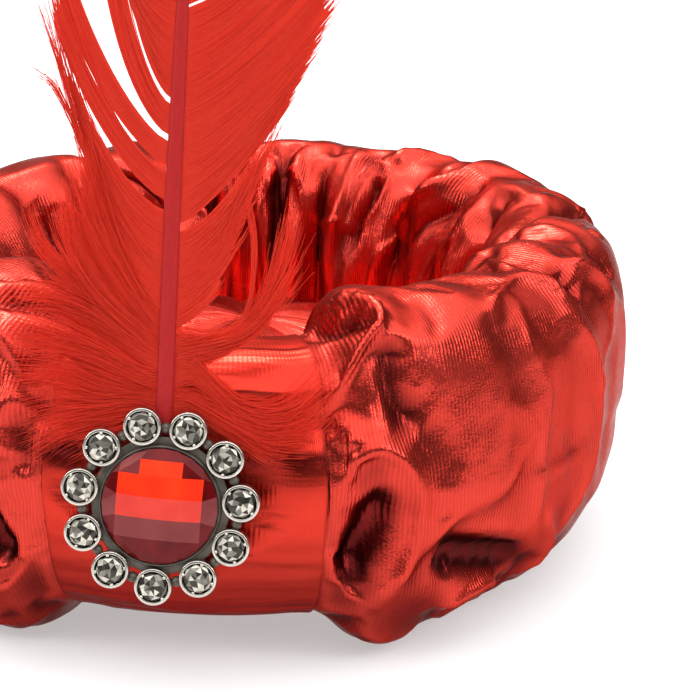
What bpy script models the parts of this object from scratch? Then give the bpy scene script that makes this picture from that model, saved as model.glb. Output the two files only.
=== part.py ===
"""A padded turban hat: a gathered ring of foil cloth, a soft cap inside it, a band, a plume and a brooch."""

import math

import bmesh
import bpy
import numpy as np
from mathutils import Matrix, Vector

# The padded ring, in metres. Its front is at -Y and it rests on z = 0
RING_WIDTH = 0.272
RING_DEPTH = 0.306
ROLL_THICK = 0.0574
ROLL_HEIGHT = 0.112
ROLL_SETTLE = 0.002
ROLL_FOOT = 0.004
ROLL_SQUARENESS = 0.81
RING_STEPS = 108
ROLL_STEPS = 24

# The cap inside the ring
CROWN_WALL = 0.0016
CROWN_RISE = 0.033
CROWN_PLEATS = 18
CROWN_PLEAT_DEPTH = 0.0022
CROWN_RINGS = 3
CROWN_SEAM_STEP = 13

# The band round the front of the ring
BAND_WIDTH = 0.075
BAND_WALL = 0.0012
BAND_MARGIN = 0.25

# The brooch, and where it presses into the front of the ring
BROOCH_SIDE = -0.006
BROOCH_HEIGHT = 0.0575
BROOCH_LEAN = math.radians(10)
BROOCH_TURN = math.radians(-3.5)
BROOCH_PRESS = 0.005
PRESS_RADIUS = 0.028
PRESS_FADE = 0.020
BOSS_RADIUS = 0.010
PLATE_WALL = 0.0012
PLATE_RADIUS = 0.0205
BEZEL_WALL = 0.0014
BEZEL_HEIGHT = 0.0026
CENTRE_STONE_RADIUS = 0.0166
CENTRE_STONE_DOME = 0.0042
CENTRE_STONE_CELL = 0.0063
CENTRE_STONE_SIDES = 22
RIM_STONES = 11
RIM_CIRCLE = 0.0241
RIM_STONE_RADIUS = 0.0045
RIM_STONE_CROWN = 0.0017
CUP_WALL = 0.0009
CUP_HEIGHT = 0.0030
CUP_SIDES = 12
STONE_SEAT = 0.0012
SOLDER_RADIUS = 0.0016

# The plume, tucked between the band and the brooch's plate
QUILL_THICK = 0.0034
PLUME_LENGTH = 0.205
PLUME_WIDTH = 0.096
PLUME_SWAY = 0.006
BARB_WALL = 0.0012
BARB_CUP = 0.007
LOCKS = 7
LEFT_NOTCH = 0.42
RIGHT_NOTCH = 0.24

# Clearances
SEAM_GAP = 0.0003
STONE_GAP = 0.0002

RED_FOIL = (0.80, 0.04, 0.03, 1.0)
RED_BAND = (0.78, 0.05, 0.03, 1.0)
RED_FEATHER = (0.86, 0.05, 0.03, 1.0)
SILVER = (0.62, 0.60, 0.56, 1.0)
RED_GLASS = (0.75, 0.03, 0.02, 1.0)
CLEAR_GLASS = (0.85, 0.85, 0.82, 1.0)

# Sections round the ring, at degrees from the front towards +X. Thick and height are shares of
# ROLL_THICK and ROLL_HEIGHT, lean is how far the top stands out beyond the foot, over half ROLL_THICK,
# and foot is the share of ROLL_FOOT by which the underside reaches down to what the hat rests on
SECTIONS = np.array(
    [
        # degrees, thick, height, lean, foot
        (0, 0.88, 0.73, 0.00, 0.0),
        (18, 0.88, 0.73, 0.00, 0.0),
        (25, 1.12, 0.99, 0.00, 1.0),
        (33, 1.06, 1.02, 0.00, 0.2),
        (44, 1.04, 1.01, 0.02, 0.0),
        (60, 1.07, 0.99, 0.06, 0.4),
        (90, 1.04, 1.00, 0.14, 0.6),
        (110, 1.04, 1.02, 0.14, 0.8),
        (138, 1.00, 1.01, 0.02, 1.0),
        (160, 1.00, 1.00, 0.00, 1.0),
        (185, 0.98, 1.01, 0.00, 1.0),
        (225, 1.02, 0.98, 0.02, 1.0),
        (262, 1.04, 1.01, 0.12, 0.6),
        (300, 1.08, 1.00, 0.05, 0.4),
        (325, 1.20, 1.02, 0.00, 0.9),
        (335, 1.16, 0.99, 0.00, 1.0),
        (342, 0.88, 0.73, 0.00, 0.0),
    ]
)

# Gathers round the ring. Inner depth is at the inner wall, where the cloth is drawn in, and outer depth
# is over the rest. Both are shares of ROLL_THICK
GATHERS = np.array(
    [
        # folds round the ring, inner depth, outer depth, phase in degrees, drift in degrees per turn of the roll
        (7, 0.010, 0.022, 250, 160),
        (11, 0.040, 0.006, 20, 300),
        (17, 0.045, 0.010, 75, -240),
        (23, 0.022, 0.000, 140, 420),
    ]
)

# Main folds. Degrees go round the ring from the front and round the roll from its outer side (90 is its
# top, 180 its inner side). Width and depth are shares of ROLL_THICK, and a negative depth is a hollow
FOLDS = np.array(
    [
        # from ring, from roll, to ring, to roll, width, depth
        (24, 2, 24, -24, 0.15, -0.16),
        (31, 4, 30, -24, 0.12, 0.05),
        (17, 80, 27, 66, 0.16, -0.11),
        (33, -34, 47, -24, 0.17, -0.11),
        (35, -60, 38, -40, 0.18, -0.07),
        (58, 66, 63, 0, 0.20, -0.035),
        (66, 62, 73, 42, 0.16, -0.055),
        (60, 112, 93, 92, 0.16, -0.08),
        (100, 62, 104, 92, 0.16, -0.06),
        (114, 172, 117, 140, 0.18, -0.11),
        (137, 158, 145, 96, 0.18, -0.11),
        (142, 172, 135, 122, 0.14, 0.06),
        (151, 172, 153, 128, 0.17, -0.12),
        (158, 172, 162, 112, 0.14, 0.06),
        (167, 170, 170, 140, 0.17, -0.11),
        (175, 168, 180, 118, 0.14, 0.06),
        (186, 172, 189, 124, 0.17, -0.10),
        (-18, 88, -28, 64, 0.16, -0.10),
        (-25, 6, -26, -22, 0.16, -0.12),
        (-36, -30, -52, -18, 0.17, -0.09),
        (-60, 100, -88, 80, 0.16, -0.07),
        (-104, 160, -112, 110, 0.17, -0.10),
        (-136, 170, -128, 116, 0.17, -0.11),
        (-150, 164, -164, 100, 0.17, -0.11),
        (-118, 50, -128, -20, 0.20, -0.04),
        (158, 40, 148, -25, 0.20, -0.04),
        (-164, 30, -172, -30, 0.20, -0.04),
    ]
)


def periodic(degrees, table, column):
    """One column of a table round the ring, smoothed between its rows."""
    fine = np.arange(360.0)
    raw = np.interp(fine, table[:, 0], table[:, column], period=360)
    kernel = np.hanning(13)[1:-1]
    reach = len(kernel) // 2
    padded = np.concatenate([raw[-reach:], raw, raw[:reach]])
    smooth = np.convolve(padded, kernel / kernel.sum(), "valid")
    return np.interp(degrees % 360, fine, smooth, period=360)


def signed_power(value, power):
    return np.sign(value) * np.abs(value) ** power


def fade(value):
    """Falls smoothly from 1 to 0 as value goes from 0 to 1."""
    value = np.clip(value, 0, 1)
    return 1 - value * value * (3 - 2 * value)


def half_angle_of_band():
    """The band's half width as an angle round the ring."""
    return BAND_WIDTH / 2 / (RING_WIDTH**2 / (2 * RING_DEPTH))


def press_frame():
    """Where the brooch presses in: its point on the ring's front, and its normal."""
    half_thick = ROLL_THICK / 2 * periodic(0.0, SECTIONS, 1)
    front = RING_DEPTH / 2 - ROLL_THICK / 2 + half_thick
    point = np.array([BROOCH_SIDE, ring_shift() - front + BROOCH_PRESS, BROOCH_HEIGHT])
    normal = np.array([0, -math.cos(BROOCH_LEAN), math.sin(BROOCH_LEAN)])
    return point, normal


def brooch_depth():
    """From the band's face to the front of the centre stone."""
    return SEAM_GAP + boss_height() + PLATE_WALL + STONE_GAP + STONE_SEAT + CENTRE_STONE_DOME


def boss_height():
    """The boss holds the plate clear of the quill, which passes behind it."""
    return QUILL_THICK + 2 * SEAM_GAP


def ring_shift():
    """How far back the ring's centre is, so that the whole hat is centred front to back."""
    half_thick = ROLL_THICK / 2 * periodic(0.0, SECTIONS, 1)
    front = RING_DEPTH / 2 - ROLL_THICK / 2 + half_thick - BROOCH_PRESS
    front += SEAM_GAP + BAND_WALL + brooch_depth()
    return (front - RING_DEPTH / 2) / 2


def gathers(ring, roll):
    """The drawn-in folds, strongest at the inner wall and gone at the foot and under the band."""
    inner = ((1 - np.cos(roll)) / 2) ** 1.3
    foot = fade(np.maximum(0, -np.sin(roll)) * 1.25)
    total = 0
    for count, inner_depth, outer_depth, phase, drift in GATHERS:
        angle = count * ring + math.radians(phase) + math.radians(drift) * roll / math.tau
        total = total + (inner_depth * inner + outer_depth * (1 - inner)) * np.sin(angle)
    return total * foot * clear_of_band(ring)


def ring_degrees(ring):
    return (np.degrees(ring) + 180) % 360 - 180


def clear_of_band(ring):
    """0 under the band, rising to 1 a little way past its edges."""
    reach = math.degrees(half_angle_of_band())
    return 1 - fade((np.abs(ring_degrees(ring)) - reach) / (BAND_MARGIN * reach))


def folds(ring, roll):
    """The main folds and hollows, each along a straight line on the unrolled surface."""
    across = (RING_WIDTH + RING_DEPTH) / 4
    around = (ROLL_THICK + ROLL_HEIGHT) / 4
    ring_now = ring_degrees(ring)
    total = 0
    for from_ring, from_roll, to_ring, to_roll, width, depth in FOLDS:
        roll_now = (np.degrees(roll) - from_roll + 180) % 360 - 180 + from_roll
        x = np.radians(ring_now - from_ring) * across
        y = np.radians(roll_now - from_roll) * around
        line = np.array([math.radians(to_ring - from_ring) * across, math.radians(to_roll - from_roll) * around])
        length = np.linalg.norm(line)
        along = np.clip((x * line[0] + y * line[1]) / length**2, 0, 1)
        away = np.hypot(x - along * line[0], y - along * line[1])
        total = total + depth * np.exp(-((away / (width * ROLL_THICK)) ** 2))
    return total * clear_of_band(ring)


def roll_points(ring, roll, proud=0.0):
    """Points of the padded ring's surface, proud metres outside it. Both angles are in radians."""
    ring, roll = np.broadcast_arrays(ring, roll)
    degrees = np.degrees(ring)
    half_x = RING_WIDTH / 2 - ROLL_THICK / 2
    half_y = RING_DEPTH / 2 - ROLL_THICK / 2
    outward = np.stack([np.sin(ring) / half_x, -np.cos(ring) / half_y], -1)
    outward /= np.linalg.norm(outward, axis=-1, keepdims=True)
    half_thick = ROLL_THICK / 2 * periodic(degrees, SECTIONS, 1)
    half_height = ROLL_HEIGHT / 2 * periodic(degrees, SECTIONS, 2)
    out = signed_power(np.cos(roll), ROLL_SQUARENESS)
    rise = signed_power(np.sin(roll), ROLL_SQUARENESS)
    lean = periodic(degrees, SECTIONS, 3) * ROLL_THICK / 2 * rise
    face = np.stack([np.cos(roll) / half_thick, np.sin(roll) / half_height], -1)
    face /= np.linalg.norm(face, axis=-1, keepdims=True)
    relief = (gathers(ring, roll) + folds(ring, roll)) * ROLL_THICK + proud
    reach = half_thick * out + lean + face[..., 0] * relief
    middle = ROLL_HEIGHT / 2 - ROLL_SETTLE + ROLL_FOOT
    rest = periodic(degrees, SECTIONS, 4) * ROLL_FOOT * np.maximum(-rise, 0)
    x = half_x * np.sin(ring) + reach * outward[..., 0]
    y = ring_shift() - half_y * np.cos(ring) + reach * outward[..., 1]
    z = np.maximum(middle + half_height * rise - rest + face[..., 1] * relief, 0)
    return pressed(np.stack([x, y, z], -1), proud)


def pressed(points, proud):
    """The points with the brooch's flat seat pressed in at the front."""
    point, normal = press_frame()
    offset = points - (point + proud * normal)
    depth = offset @ normal
    away = np.linalg.norm(offset - depth[..., None] * normal, axis=-1)
    push = np.maximum(depth, 0) * fade((away - PRESS_RADIUS) / PRESS_FADE)
    return points - push[..., None] * normal


def material(name, colour, metallic, roughness):
    made = bpy.data.materials.new(name)
    made.use_nodes = True
    shader = made.node_tree.nodes["Principled BSDF"]
    shader.inputs["Base Color"].default_value = colour
    shader.inputs["Metallic"].default_value = metallic
    shader.inputs["Roughness"].default_value = roughness
    made.diffuse_color = colour
    return made


def add_object(name, mesh, look, parent=None):
    made = bpy.data.objects.new(name, mesh)
    if look:
        mesh.materials.append(look)
    bpy.context.scene.collection.objects.link(made)
    made.parent = parent
    return made


def grid_mesh(name, rows, wrap_rows, wrap_columns):
    """A mesh of quads from rows of points."""
    rows = np.asarray(rows)
    count, width = rows.shape[:2]
    faces = []
    for i in range(count if wrap_rows else count - 1):
        for j in range(width if wrap_columns else width - 1):
            after, beside = (i + 1) % count, (j + 1) % width
            faces.append((i * width + j, after * width + j, after * width + beside, i * width + beside))
    mesh = bpy.data.meshes.new(name)
    mesh.from_pydata([tuple(p) for p in rows.reshape(-1, 3)], [], faces)
    return mesh


def facing_out(mesh, smooth=True):
    """The mesh with its faces turned outward."""
    shape = bmesh.new()
    shape.from_mesh(mesh)
    bmesh.ops.recalc_face_normals(shape, faces=shape.faces)
    if shape.calc_volume(signed=True) < 0:
        bmesh.ops.reverse_faces(shape, faces=shape.faces)
    shape.to_mesh(mesh)
    shape.free()
    if smooth:
        mesh.shade_smooth()
        mesh.set_sharp_from_angle(angle=math.radians(50))
    return mesh


def padded_roll(look):
    ring = (np.arange(RING_STEPS) + 0.5) * math.tau / RING_STEPS
    roll = np.arange(ROLL_STEPS) * math.tau / ROLL_STEPS
    rows = roll_points(ring[:, None], roll[None, :])
    add_object("padded_roll", facing_out(grid_mesh("padded_roll", rows, True, True)), look)


def roll_row(degrees, proud):
    """A row of points round the roll at any angle, lying on its own facets."""
    step = 360 / RING_STEPS
    before = math.floor(degrees / step - 0.5)
    share = degrees / step - 0.5 - before
    roll = np.arange(ROLL_STEPS) * math.tau / ROLL_STEPS
    first, second = (roll_points(math.radians((before + k) * step), roll, proud) for k in (0.5, 1.5))
    return first * (1 - share) + second * share


def front_band(look):
    """A loop of cloth right round the roll at the front."""
    reach = math.degrees(half_angle_of_band())
    step = 360 / RING_STEPS
    between = [(k + 0.5) * step for k in range(-RING_STEPS, RING_STEPS) if abs(k + 0.5) * step < reach - 0.2 * step]
    places = [-reach, *between, reach]
    under = [roll_row(degrees, SEAM_GAP) for degrees in places]
    over = [roll_row(degrees, SEAM_GAP + BAND_WALL) for degrees in reversed(places)]
    add_object("front_band", facing_out(grid_mesh("front_band", under + over, True, True)), look)


def crown(look):
    """A shallow cap with radial pleats, sewn round the roll's inner wall."""
    ring = (np.arange(RING_STEPS) + 0.5) * math.tau / RING_STEPS
    seam = roll_points(ring, np.full(RING_STEPS, CROWN_SEAM_STEP * math.tau / ROLL_STEPS))
    centre = np.array([0, ring_shift(), seam[:, 2].mean()])
    inward = centre - seam
    inward[:, 2] = 0
    inward /= np.linalg.norm(inward, axis=1, keepdims=True)
    beside_band = fade((np.abs(ring_degrees(ring)) / math.degrees(half_angle_of_band()) - 1.1) / 0.3)
    rim = seam + inward * (SEAM_GAP + (BAND_WALL + SEAM_GAP) * beside_band)[:, None]
    sheets = []
    for side in (0.5, -0.5):
        rows = []
        for share in np.linspace(1, 0, CROWN_RINGS + 1)[:-1]:
            row = centre + (rim - centre) * share
            pleat = CROWN_PLEAT_DEPTH * np.sin(CROWN_PLEATS * ring) * 4 * share * (1 - share)
            row[:, 2] = rim[:, 2] * share + centre[2] * (1 - share)
            row[:, 2] += CROWN_RISE * (1 - share**2.2) + pleat + side * CROWN_WALL
            rows.append(row)
        sheets.append((rows, centre + np.array([0, 0, CROWN_RISE + side * CROWN_WALL])))
    (top_rows, top_pole), (low_rows, low_pole) = sheets
    points = [tuple(p) for row in top_rows + low_rows for p in row] + [tuple(top_pole), tuple(low_pole)]
    faces = []
    top_tip, low_tip = len(points) - 2, len(points) - 1
    for i in range(RING_STEPS):
        j = (i + 1) % RING_STEPS
        for level in range(CROWN_RINGS - 1):
            a, b = level * RING_STEPS, (level + 1) * RING_STEPS
            c, d = a + CROWN_RINGS * RING_STEPS, b + CROWN_RINGS * RING_STEPS
            faces.append((a + i, a + j, b + j, b + i))
            faces.append((c + i, d + i, d + j, c + j))
        inner = (CROWN_RINGS - 1) * RING_STEPS
        faces.append((inner + i, inner + j, top_tip))
        faces.append((inner + CROWN_RINGS * RING_STEPS + i, low_tip, inner + CROWN_RINGS * RING_STEPS + j))
        faces.append((i, CROWN_RINGS * RING_STEPS + i, CROWN_RINGS * RING_STEPS + j, j))
    mesh = bpy.data.meshes.new("crown")
    mesh.from_pydata(points, [], faces)
    add_object("crown", facing_out(mesh), look)


def turned(name, profile, sides):
    """A closed solid from (radius, height) points from the axis at the back to the axis at the front."""
    shape = bmesh.new()
    rows = []
    for radius, height in profile[1:-1]:
        angles = [math.tau * k / sides for k in range(sides)]
        rows.append([shape.verts.new((radius * math.cos(a), radius * math.sin(a), height)) for a in angles])
    back = shape.verts.new((0, 0, profile[0][1]))
    front = shape.verts.new((0, 0, profile[-1][1]))
    for k in range(sides):
        after = (k + 1) % sides
        shape.faces.new((back, rows[0][after], rows[0][k]))
        shape.faces.new((front, rows[-1][k], rows[-1][after]))
        for low, high in zip(rows, rows[1:]):
            shape.faces.new((low[k], low[after], high[after], high[k]))
    bmesh.ops.recalc_face_normals(shape, faces=shape.faces)
    mesh = bpy.data.meshes.new(name)
    shape.to_mesh(mesh)
    shape.free()
    return mesh


def repeated(name, piece, places):
    """Copies of one closed mesh at several places, as one mesh of separate shells."""
    shape = bmesh.new()
    for place in places:
        copy = piece.copy()
        copy.transform(Matrix.Translation(place))
        shape.from_mesh(copy)
        bpy.data.meshes.remove(copy)
    mesh = bpy.data.meshes.new(name)
    shape.to_mesh(mesh)
    shape.free()
    return mesh


def ring_places(count, radius, height, turn):
    places = []
    for k in range(count):
        angle = turn + math.pi / 2 + (k + 0.5) * math.tau / count
        places.append(Vector((radius * math.cos(angle), radius * math.sin(angle), height)))
    return places


def combine(target, helper_mesh, operation, seat):
    """Adds or cuts a helper's mesh by a Boolean."""
    helper = add_object(helper_mesh.name, helper_mesh, None, seat)
    helper.hide_render = True
    helper.display_type = "WIRE"
    step = target.modifiers.new(helper_mesh.name, "BOOLEAN")
    step.operation = operation
    step.object = helper
    step.solver = "EXACT"


def plate_front():
    return boss_height() + PLATE_WALL


def brooch_setting(look, seat):
    """The metal: a boss, a plate, a bezel and a ring of cups, all soldered together."""
    bezel = CENTRE_STONE_RADIUS + STONE_GAP + BEZEL_WALL
    top = plate_front()
    profile = [
        (0, 0),
        (BOSS_RADIUS, 0),
        (BOSS_RADIUS, boss_height()),
        (PLATE_RADIUS, boss_height()),
        (PLATE_RADIUS, top),
        (bezel, top),
        (bezel, top + BEZEL_HEIGHT),
        (CENTRE_STONE_RADIUS + STONE_GAP, top + BEZEL_HEIGHT),
        (CENTRE_STONE_RADIUS + STONE_GAP, top),
        (0, top),
    ]
    setting = add_object("brooch_setting", turned("brooch_setting", profile, 22), look, seat)
    cup_radius = RIM_STONE_RADIUS + STONE_GAP + CUP_WALL
    low, high = boss_height() - PLATE_WALL / 2, boss_height() - PLATE_WALL / 2 + PLATE_WALL + CUP_HEIGHT
    cup = turned("cup", [(0, low), (cup_radius * 0.8, low), (cup_radius, low + 0.001), (cup_radius, high), (0, high)], CUP_SIDES)
    cups = repeated("cups", cup, ring_places(RIM_STONES, RIM_CIRCLE, 0, BROOCH_TURN))
    combine(setting, cups, "UNION", seat)
    half_step = math.pi / RIM_STONES
    ball = turned("ball", ball_profile(SOLDER_RADIUS, 4), 6)
    joins = ring_places(RIM_STONES, RIM_CIRCLE * math.cos(half_step), low + SOLDER_RADIUS, BROOCH_TURN + half_step)
    combine(setting, repeated("solder_joins", ball, joins), "UNION", seat)
    well_radius = RIM_STONE_RADIUS + STONE_GAP
    well = turned("well", [(0, high - STONE_SEAT - STONE_GAP), (well_radius, high - STONE_SEAT - STONE_GAP), (well_radius, high + 0.001), (0, high + 0.001)], CUP_SIDES)
    wells = repeated("wells", well, ring_places(RIM_STONES, RIM_CIRCLE, 0, BROOCH_TURN))
    combine(setting, wells, "DIFFERENCE", seat)
    for used in (cup, ball, well):
        bpy.data.meshes.remove(used)


def ball_profile(radius, bands):
    angles = [-math.pi / 2 + math.pi * k / bands for k in range(bands + 1)]
    return [(radius * math.cos(a), radius * math.sin(a)) for a in angles]


def hull_mesh(name, points):
    shape = bmesh.new()
    for point in points:
        shape.verts.new(point)
    hull = bmesh.ops.convex_hull(shape, input=shape.verts)
    loose = [v for v in shape.verts if not v.link_faces]
    bmesh.ops.delete(shape, geom=loose, context="VERTS")
    bmesh.ops.dissolve_limit(shape, angle_limit=math.radians(0.5), verts=shape.verts, edges=shape.edges)
    bmesh.ops.recalc_face_normals(shape, faces=shape.faces)
    mesh = bpy.data.meshes.new(name)
    shape.to_mesh(mesh)
    shape.free()
    return mesh


def centre_stone(look, seat):
    """A round stone whose dome is cut in square facets, each touching one paraboloid."""
    base = plate_front() + STONE_GAP
    girdle = base + STONE_SEAT
    cell, radius = CENTRE_STONE_CELL, CENTRE_STONE_RADIUS
    droop = CENTRE_STONE_DOME * 0.82 / radius**2

    def dome(x, y):
        i, j = round(x / cell), round(y / cell)
        best = 1.0
        for a in (i - 1, i, i + 1):
            for b in (j - 1, j, j + 1):
                u, v = a * cell, b * cell
                best = min(best, -droop * (u * u + v * v) - 2 * droop * (u * (x - u) + v * (y - v)))
        return girdle + CENTRE_STONE_DOME + best

    points = []
    for i in range(-3, 3):
        for j in range(-3, 3):
            x, y = (i + 0.5) * cell, (j + 0.5) * cell
            if math.hypot(x, y) < radius * 0.93:
                points.append((x, y, dome(x, y)))
    for k in range(CENTRE_STONE_SIDES):
        angle = math.tau * k / CENTRE_STONE_SIDES
        c, s = math.cos(angle), math.sin(angle)
        points.append((radius * c, radius * s, girdle))
        points.append((0.99 * radius * c, 0.99 * radius * s, base))
    stone = add_object("centre_stone", hull_mesh("centre_stone", points), look, seat)
    stone.rotation_euler.z = BROOCH_TURN


def rim_stones(look, seat):
    """Round stones with a table, eight main facets and eight star facets, one to each cup."""
    low = boss_height() - PLATE_WALL / 2 + PLATE_WALL + CUP_HEIGHT - STONE_SEAT
    points = []
    for k in range(8):
        angle = math.tau * k / 8
        half = angle + math.pi / 8
        r = RIM_STONE_RADIUS
        points.append((0.55 * r * math.cos(angle), 0.55 * r * math.sin(angle), STONE_SEAT * 0.5 + RIM_STONE_CROWN))
        points.append((0.85 * r * math.cos(half), 0.85 * r * math.sin(half), STONE_SEAT * 0.5 + RIM_STONE_CROWN * 0.55))
        points.append((r * math.cos(angle), r * math.sin(angle), STONE_SEAT * 0.5))
        points.append((0.96 * r * math.cos(angle), 0.96 * r * math.sin(angle), 0))
    mesh = hull_mesh("rim_stone", points)
    for number, place in enumerate(ring_places(RIM_STONES, RIM_CIRCLE, low, BROOCH_TURN), 1):
        stone = add_object(f"rim_stone_{number:02d}", mesh, look if number == 1 else None, seat)
        stone.location = place


# The plume's outline. Height is a share of PLUME_LENGTH along the quill, left and right are shares of
# PLUME_WIDTH, and drop is how far below its tip each lock leaves the quill, as a share of PLUME_LENGTH
PLUME_OUTLINE = np.array(
    [
        # height, left, right, drop
        (0.00, 0.025, 0.025, 0.00),
        (0.115, 0.025, 0.025, 0.00),
        (0.150, 0.36, 0.24, 0.01),
        (0.215, 0.47, 0.34, 0.03),
        (0.300, 0.46, 0.33, 0.07),
        (0.400, 0.38, 0.31, 0.11),
        (0.480, 0.33, 0.35, 0.13),
        (0.560, 0.36, 0.37, 0.15),
        (0.660, 0.42, 0.45, 0.16),
        (0.790, 0.45, 0.50, 0.17),
        (0.880, 0.41, 0.44, 0.13),
        (0.940, 0.34, 0.36, 0.09),
        (0.975, 0.23, 0.24, 0.05),
        (1.000, 0.05, 0.05, 0.01),
    ]
)


# One lock of the plume's vane, from its lower side to its upper side. Reach is its share of the vane's
# width there, with the notches' own depths at the first row, and rise is a share of PLUME_LENGTH
LOCK_ROWS = ((1.00, 0.000), (0.93, 0.012), (1.00, 0.006), (1.00, 0.000), (0.95, -0.006))


def plume_rows():
    """Rows of points across the plume, from its foot to its tip, with each point's thickness."""
    foot = BOSS_RADIUS + SEAM_GAP
    bare = [0.0, 0.06, 0.115]
    shares = bare + [0.125 + 0.875 * k / (LOCKS * len(LOCK_ROWS)) for k in range(LOCKS * len(LOCK_ROWS) + 1)]
    rows, walls = [], []
    for number, height in enumerate(shares):
        left, right, drop = (np.interp(height, PLUME_OUTLINE[:, 0], PLUME_OUTLINE[:, k]) for k in (1, 2, 3))
        quill_at = (height - drop) * PLUME_LENGTH
        sway = PLUME_SWAY * (quill_at / PLUME_LENGTH) ** 1.5
        thick = QUILL_THICK * (1 - 0.62 * quill_at / PLUME_LENGTH)
        step = number - len(bare)
        inside = 1 < step < LOCKS * len(LOCK_ROWS) - 1
        row, wall = [], []
        for side, share in ((-1, 1.0), (-1, 0.55), (-1, None), (0, 0), (1, None), (1, 0.55), (1, 1.0)):
            within = (step if side > 0 else step + 2) % len(LOCK_ROWS)
            lock_reach, rise = LOCK_ROWS[within] if inside else (1.0, 0.0)
            if inside and within == 0:
                lock_reach = 1 - (RIGHT_NOTCH if side > 0 else LEFT_NOTCH)
            reach = max((left if side < 0 else right) * PLUME_WIDTH * lock_reach, thick / 2 + 0.0008)
            away = thick / 2 + 0.0002 if share is None else reach * share
            along = (drop * lock_reach + rise * height) * PLUME_LENGTH * share**1.4 if share else 0
            cup = -BARB_CUP * (2 * away / PLUME_WIDTH) ** 2 * (0.3 + height)
            row.append((sway + side * away, foot + quill_at + along, cup))
            wall.append(thick if side == 0 else BARB_WALL * (1.0 if share is None else 1.1 - 0.5 * share))
        rows.append(row)
        walls.append(wall)
    return np.array(rows), np.array(walls)


def plume(look, seat):
    """One feather: a quill, with vanes of locks that run out from it and up."""
    middle, walls = plume_rows()
    middle[..., 2] += SEAM_GAP + QUILL_THICK / 2
    half = walls[..., None] * np.array([0, 0, 0.5])
    front, back = middle + half, middle - half
    count, width = walls.shape
    points = [tuple(p) for p in np.concatenate([front.reshape(-1, 3), back.reshape(-1, 3)])]
    other = count * width
    faces = []
    for i in range(count - 1):
        for j in range(width - 1):
            a, b = i * width + j, (i + 1) * width + j
            faces.append((a, a + 1, b + 1, b))
            faces.append((other + a, other + b, other + b + 1, other + a + 1))
    edge = [j for j in range(width)]
    edge += [i * width + width - 1 for i in range(1, count)]
    edge += [(count - 1) * width + j for j in range(width - 2, -1, -1)]
    edge += [i * width for i in range(count - 2, 0, -1)]
    for a, b in zip(edge, edge[1:] + edge[:1]):
        faces.append((a, other + a, other + b, b))
    mesh = bpy.data.meshes.new("plume")
    mesh.from_pydata(points, [], faces)
    add_object("plume", facing_out(mesh), look, seat)


def brooch_seat():
    """An empty on the band's face, with its Z axis straight out of the brooch."""
    point, normal = press_frame()
    place = Vector(point) + Vector(normal) * (SEAM_GAP + BAND_WALL + SEAM_GAP)
    outward = Vector(normal)
    across = Vector((1, 0, 0))
    seat = bpy.data.objects.new("brooch_seat", None)
    seat.matrix_world = Matrix.Translation(place) @ Matrix((across, outward.cross(across), outward)).transposed().to_4x4()
    bpy.context.scene.collection.objects.link(seat)
    return seat


def main():
    for old in list(bpy.data.objects):
        bpy.data.objects.remove(old)
    foil = material("red_foil", RED_FOIL, 0.75, 0.35)
    padded_roll(foil)
    crown(foil)
    front_band(material("red_band", RED_BAND, 0.75, 0.3))
    seat = brooch_seat()
    brooch_setting(material("silver", SILVER, 1.0, 0.25), seat)
    centre_stone(material("red_glass", RED_GLASS, 0.0, 0.05), seat)
    rim_stones(material("clear_glass", CLEAR_GLASS, 0.0, 0.05), seat)
    plume(material("red_feather", RED_FEATHER, 0.0, 0.6), seat)
    bpy.context.view_layer.update()


main()
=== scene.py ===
import math

import bmesh
import bpy
import numpy as np
from mathutils import Matrix, Vector


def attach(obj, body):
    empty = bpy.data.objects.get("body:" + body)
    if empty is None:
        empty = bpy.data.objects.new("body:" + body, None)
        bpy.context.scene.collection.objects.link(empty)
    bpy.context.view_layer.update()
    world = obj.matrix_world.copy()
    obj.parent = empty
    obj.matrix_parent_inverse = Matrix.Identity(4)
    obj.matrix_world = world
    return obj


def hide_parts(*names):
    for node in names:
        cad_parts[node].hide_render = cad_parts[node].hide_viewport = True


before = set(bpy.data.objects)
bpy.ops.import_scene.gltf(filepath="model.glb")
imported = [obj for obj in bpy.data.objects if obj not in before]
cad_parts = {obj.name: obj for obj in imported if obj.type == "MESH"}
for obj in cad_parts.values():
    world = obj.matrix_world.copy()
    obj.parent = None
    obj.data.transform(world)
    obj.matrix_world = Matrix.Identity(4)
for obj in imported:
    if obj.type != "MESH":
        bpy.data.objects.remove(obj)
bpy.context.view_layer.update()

# The padded ring, in metres, as in the solid model. Its front is at -Y
RING_WIDTH = 0.272
RING_DEPTH = 0.306
ROLL_THICK = 0.0574
ROLL_HEIGHT = 0.112
ROLL_SETTLE = 0.002
ROLL_FOOT = 0.004
ROLL_SQUARENESS = 0.81

# The cap and the band
CROWN_RISE = 0.033
CROWN_PLEATS = 18
CROWN_WALL = 0.0016
CROWN_SEAM = math.radians(195)
BAND_WIDTH = 0.075
BAND_WALL = 0.0012
BAND_MARGIN = 0.25

# The brooch and its seat
BROOCH_SIDE = -0.006
BROOCH_HEIGHT = 0.0575
BROOCH_LEAN = math.radians(10)
BROOCH_TURN = math.radians(-3.5)
BROOCH_PRESS = 0.005
PRESS_RADIUS = 0.028
PRESS_FADE = 0.020
BOSS_RADIUS = 0.010
PLATE_WALL = 0.0012
PLATE_RADIUS = 0.0205
BEZEL_WALL = 0.0014
BEZEL_HEIGHT = 0.0026
CENTRE_STONE_RADIUS = 0.0166
CENTRE_STONE_DOME = 0.0042
CENTRE_STONE_CELL = 0.0063
RIM_STONES = 11
RIM_CIRCLE = 0.0241
RIM_STONE_RADIUS = 0.0045
RIM_STONE_CROWN = 0.0017
CUP_WALL = 0.0009
CUP_HEIGHT = 0.0030
STONE_SEAT = 0.0012
SOLDER_RADIUS = 0.0016

# The plume
QUILL_THICK = 0.0034
PLUME_LENGTH = 0.205
PLUME_SWAY = 0.006
PLUME_CUP = 0.007

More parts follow.
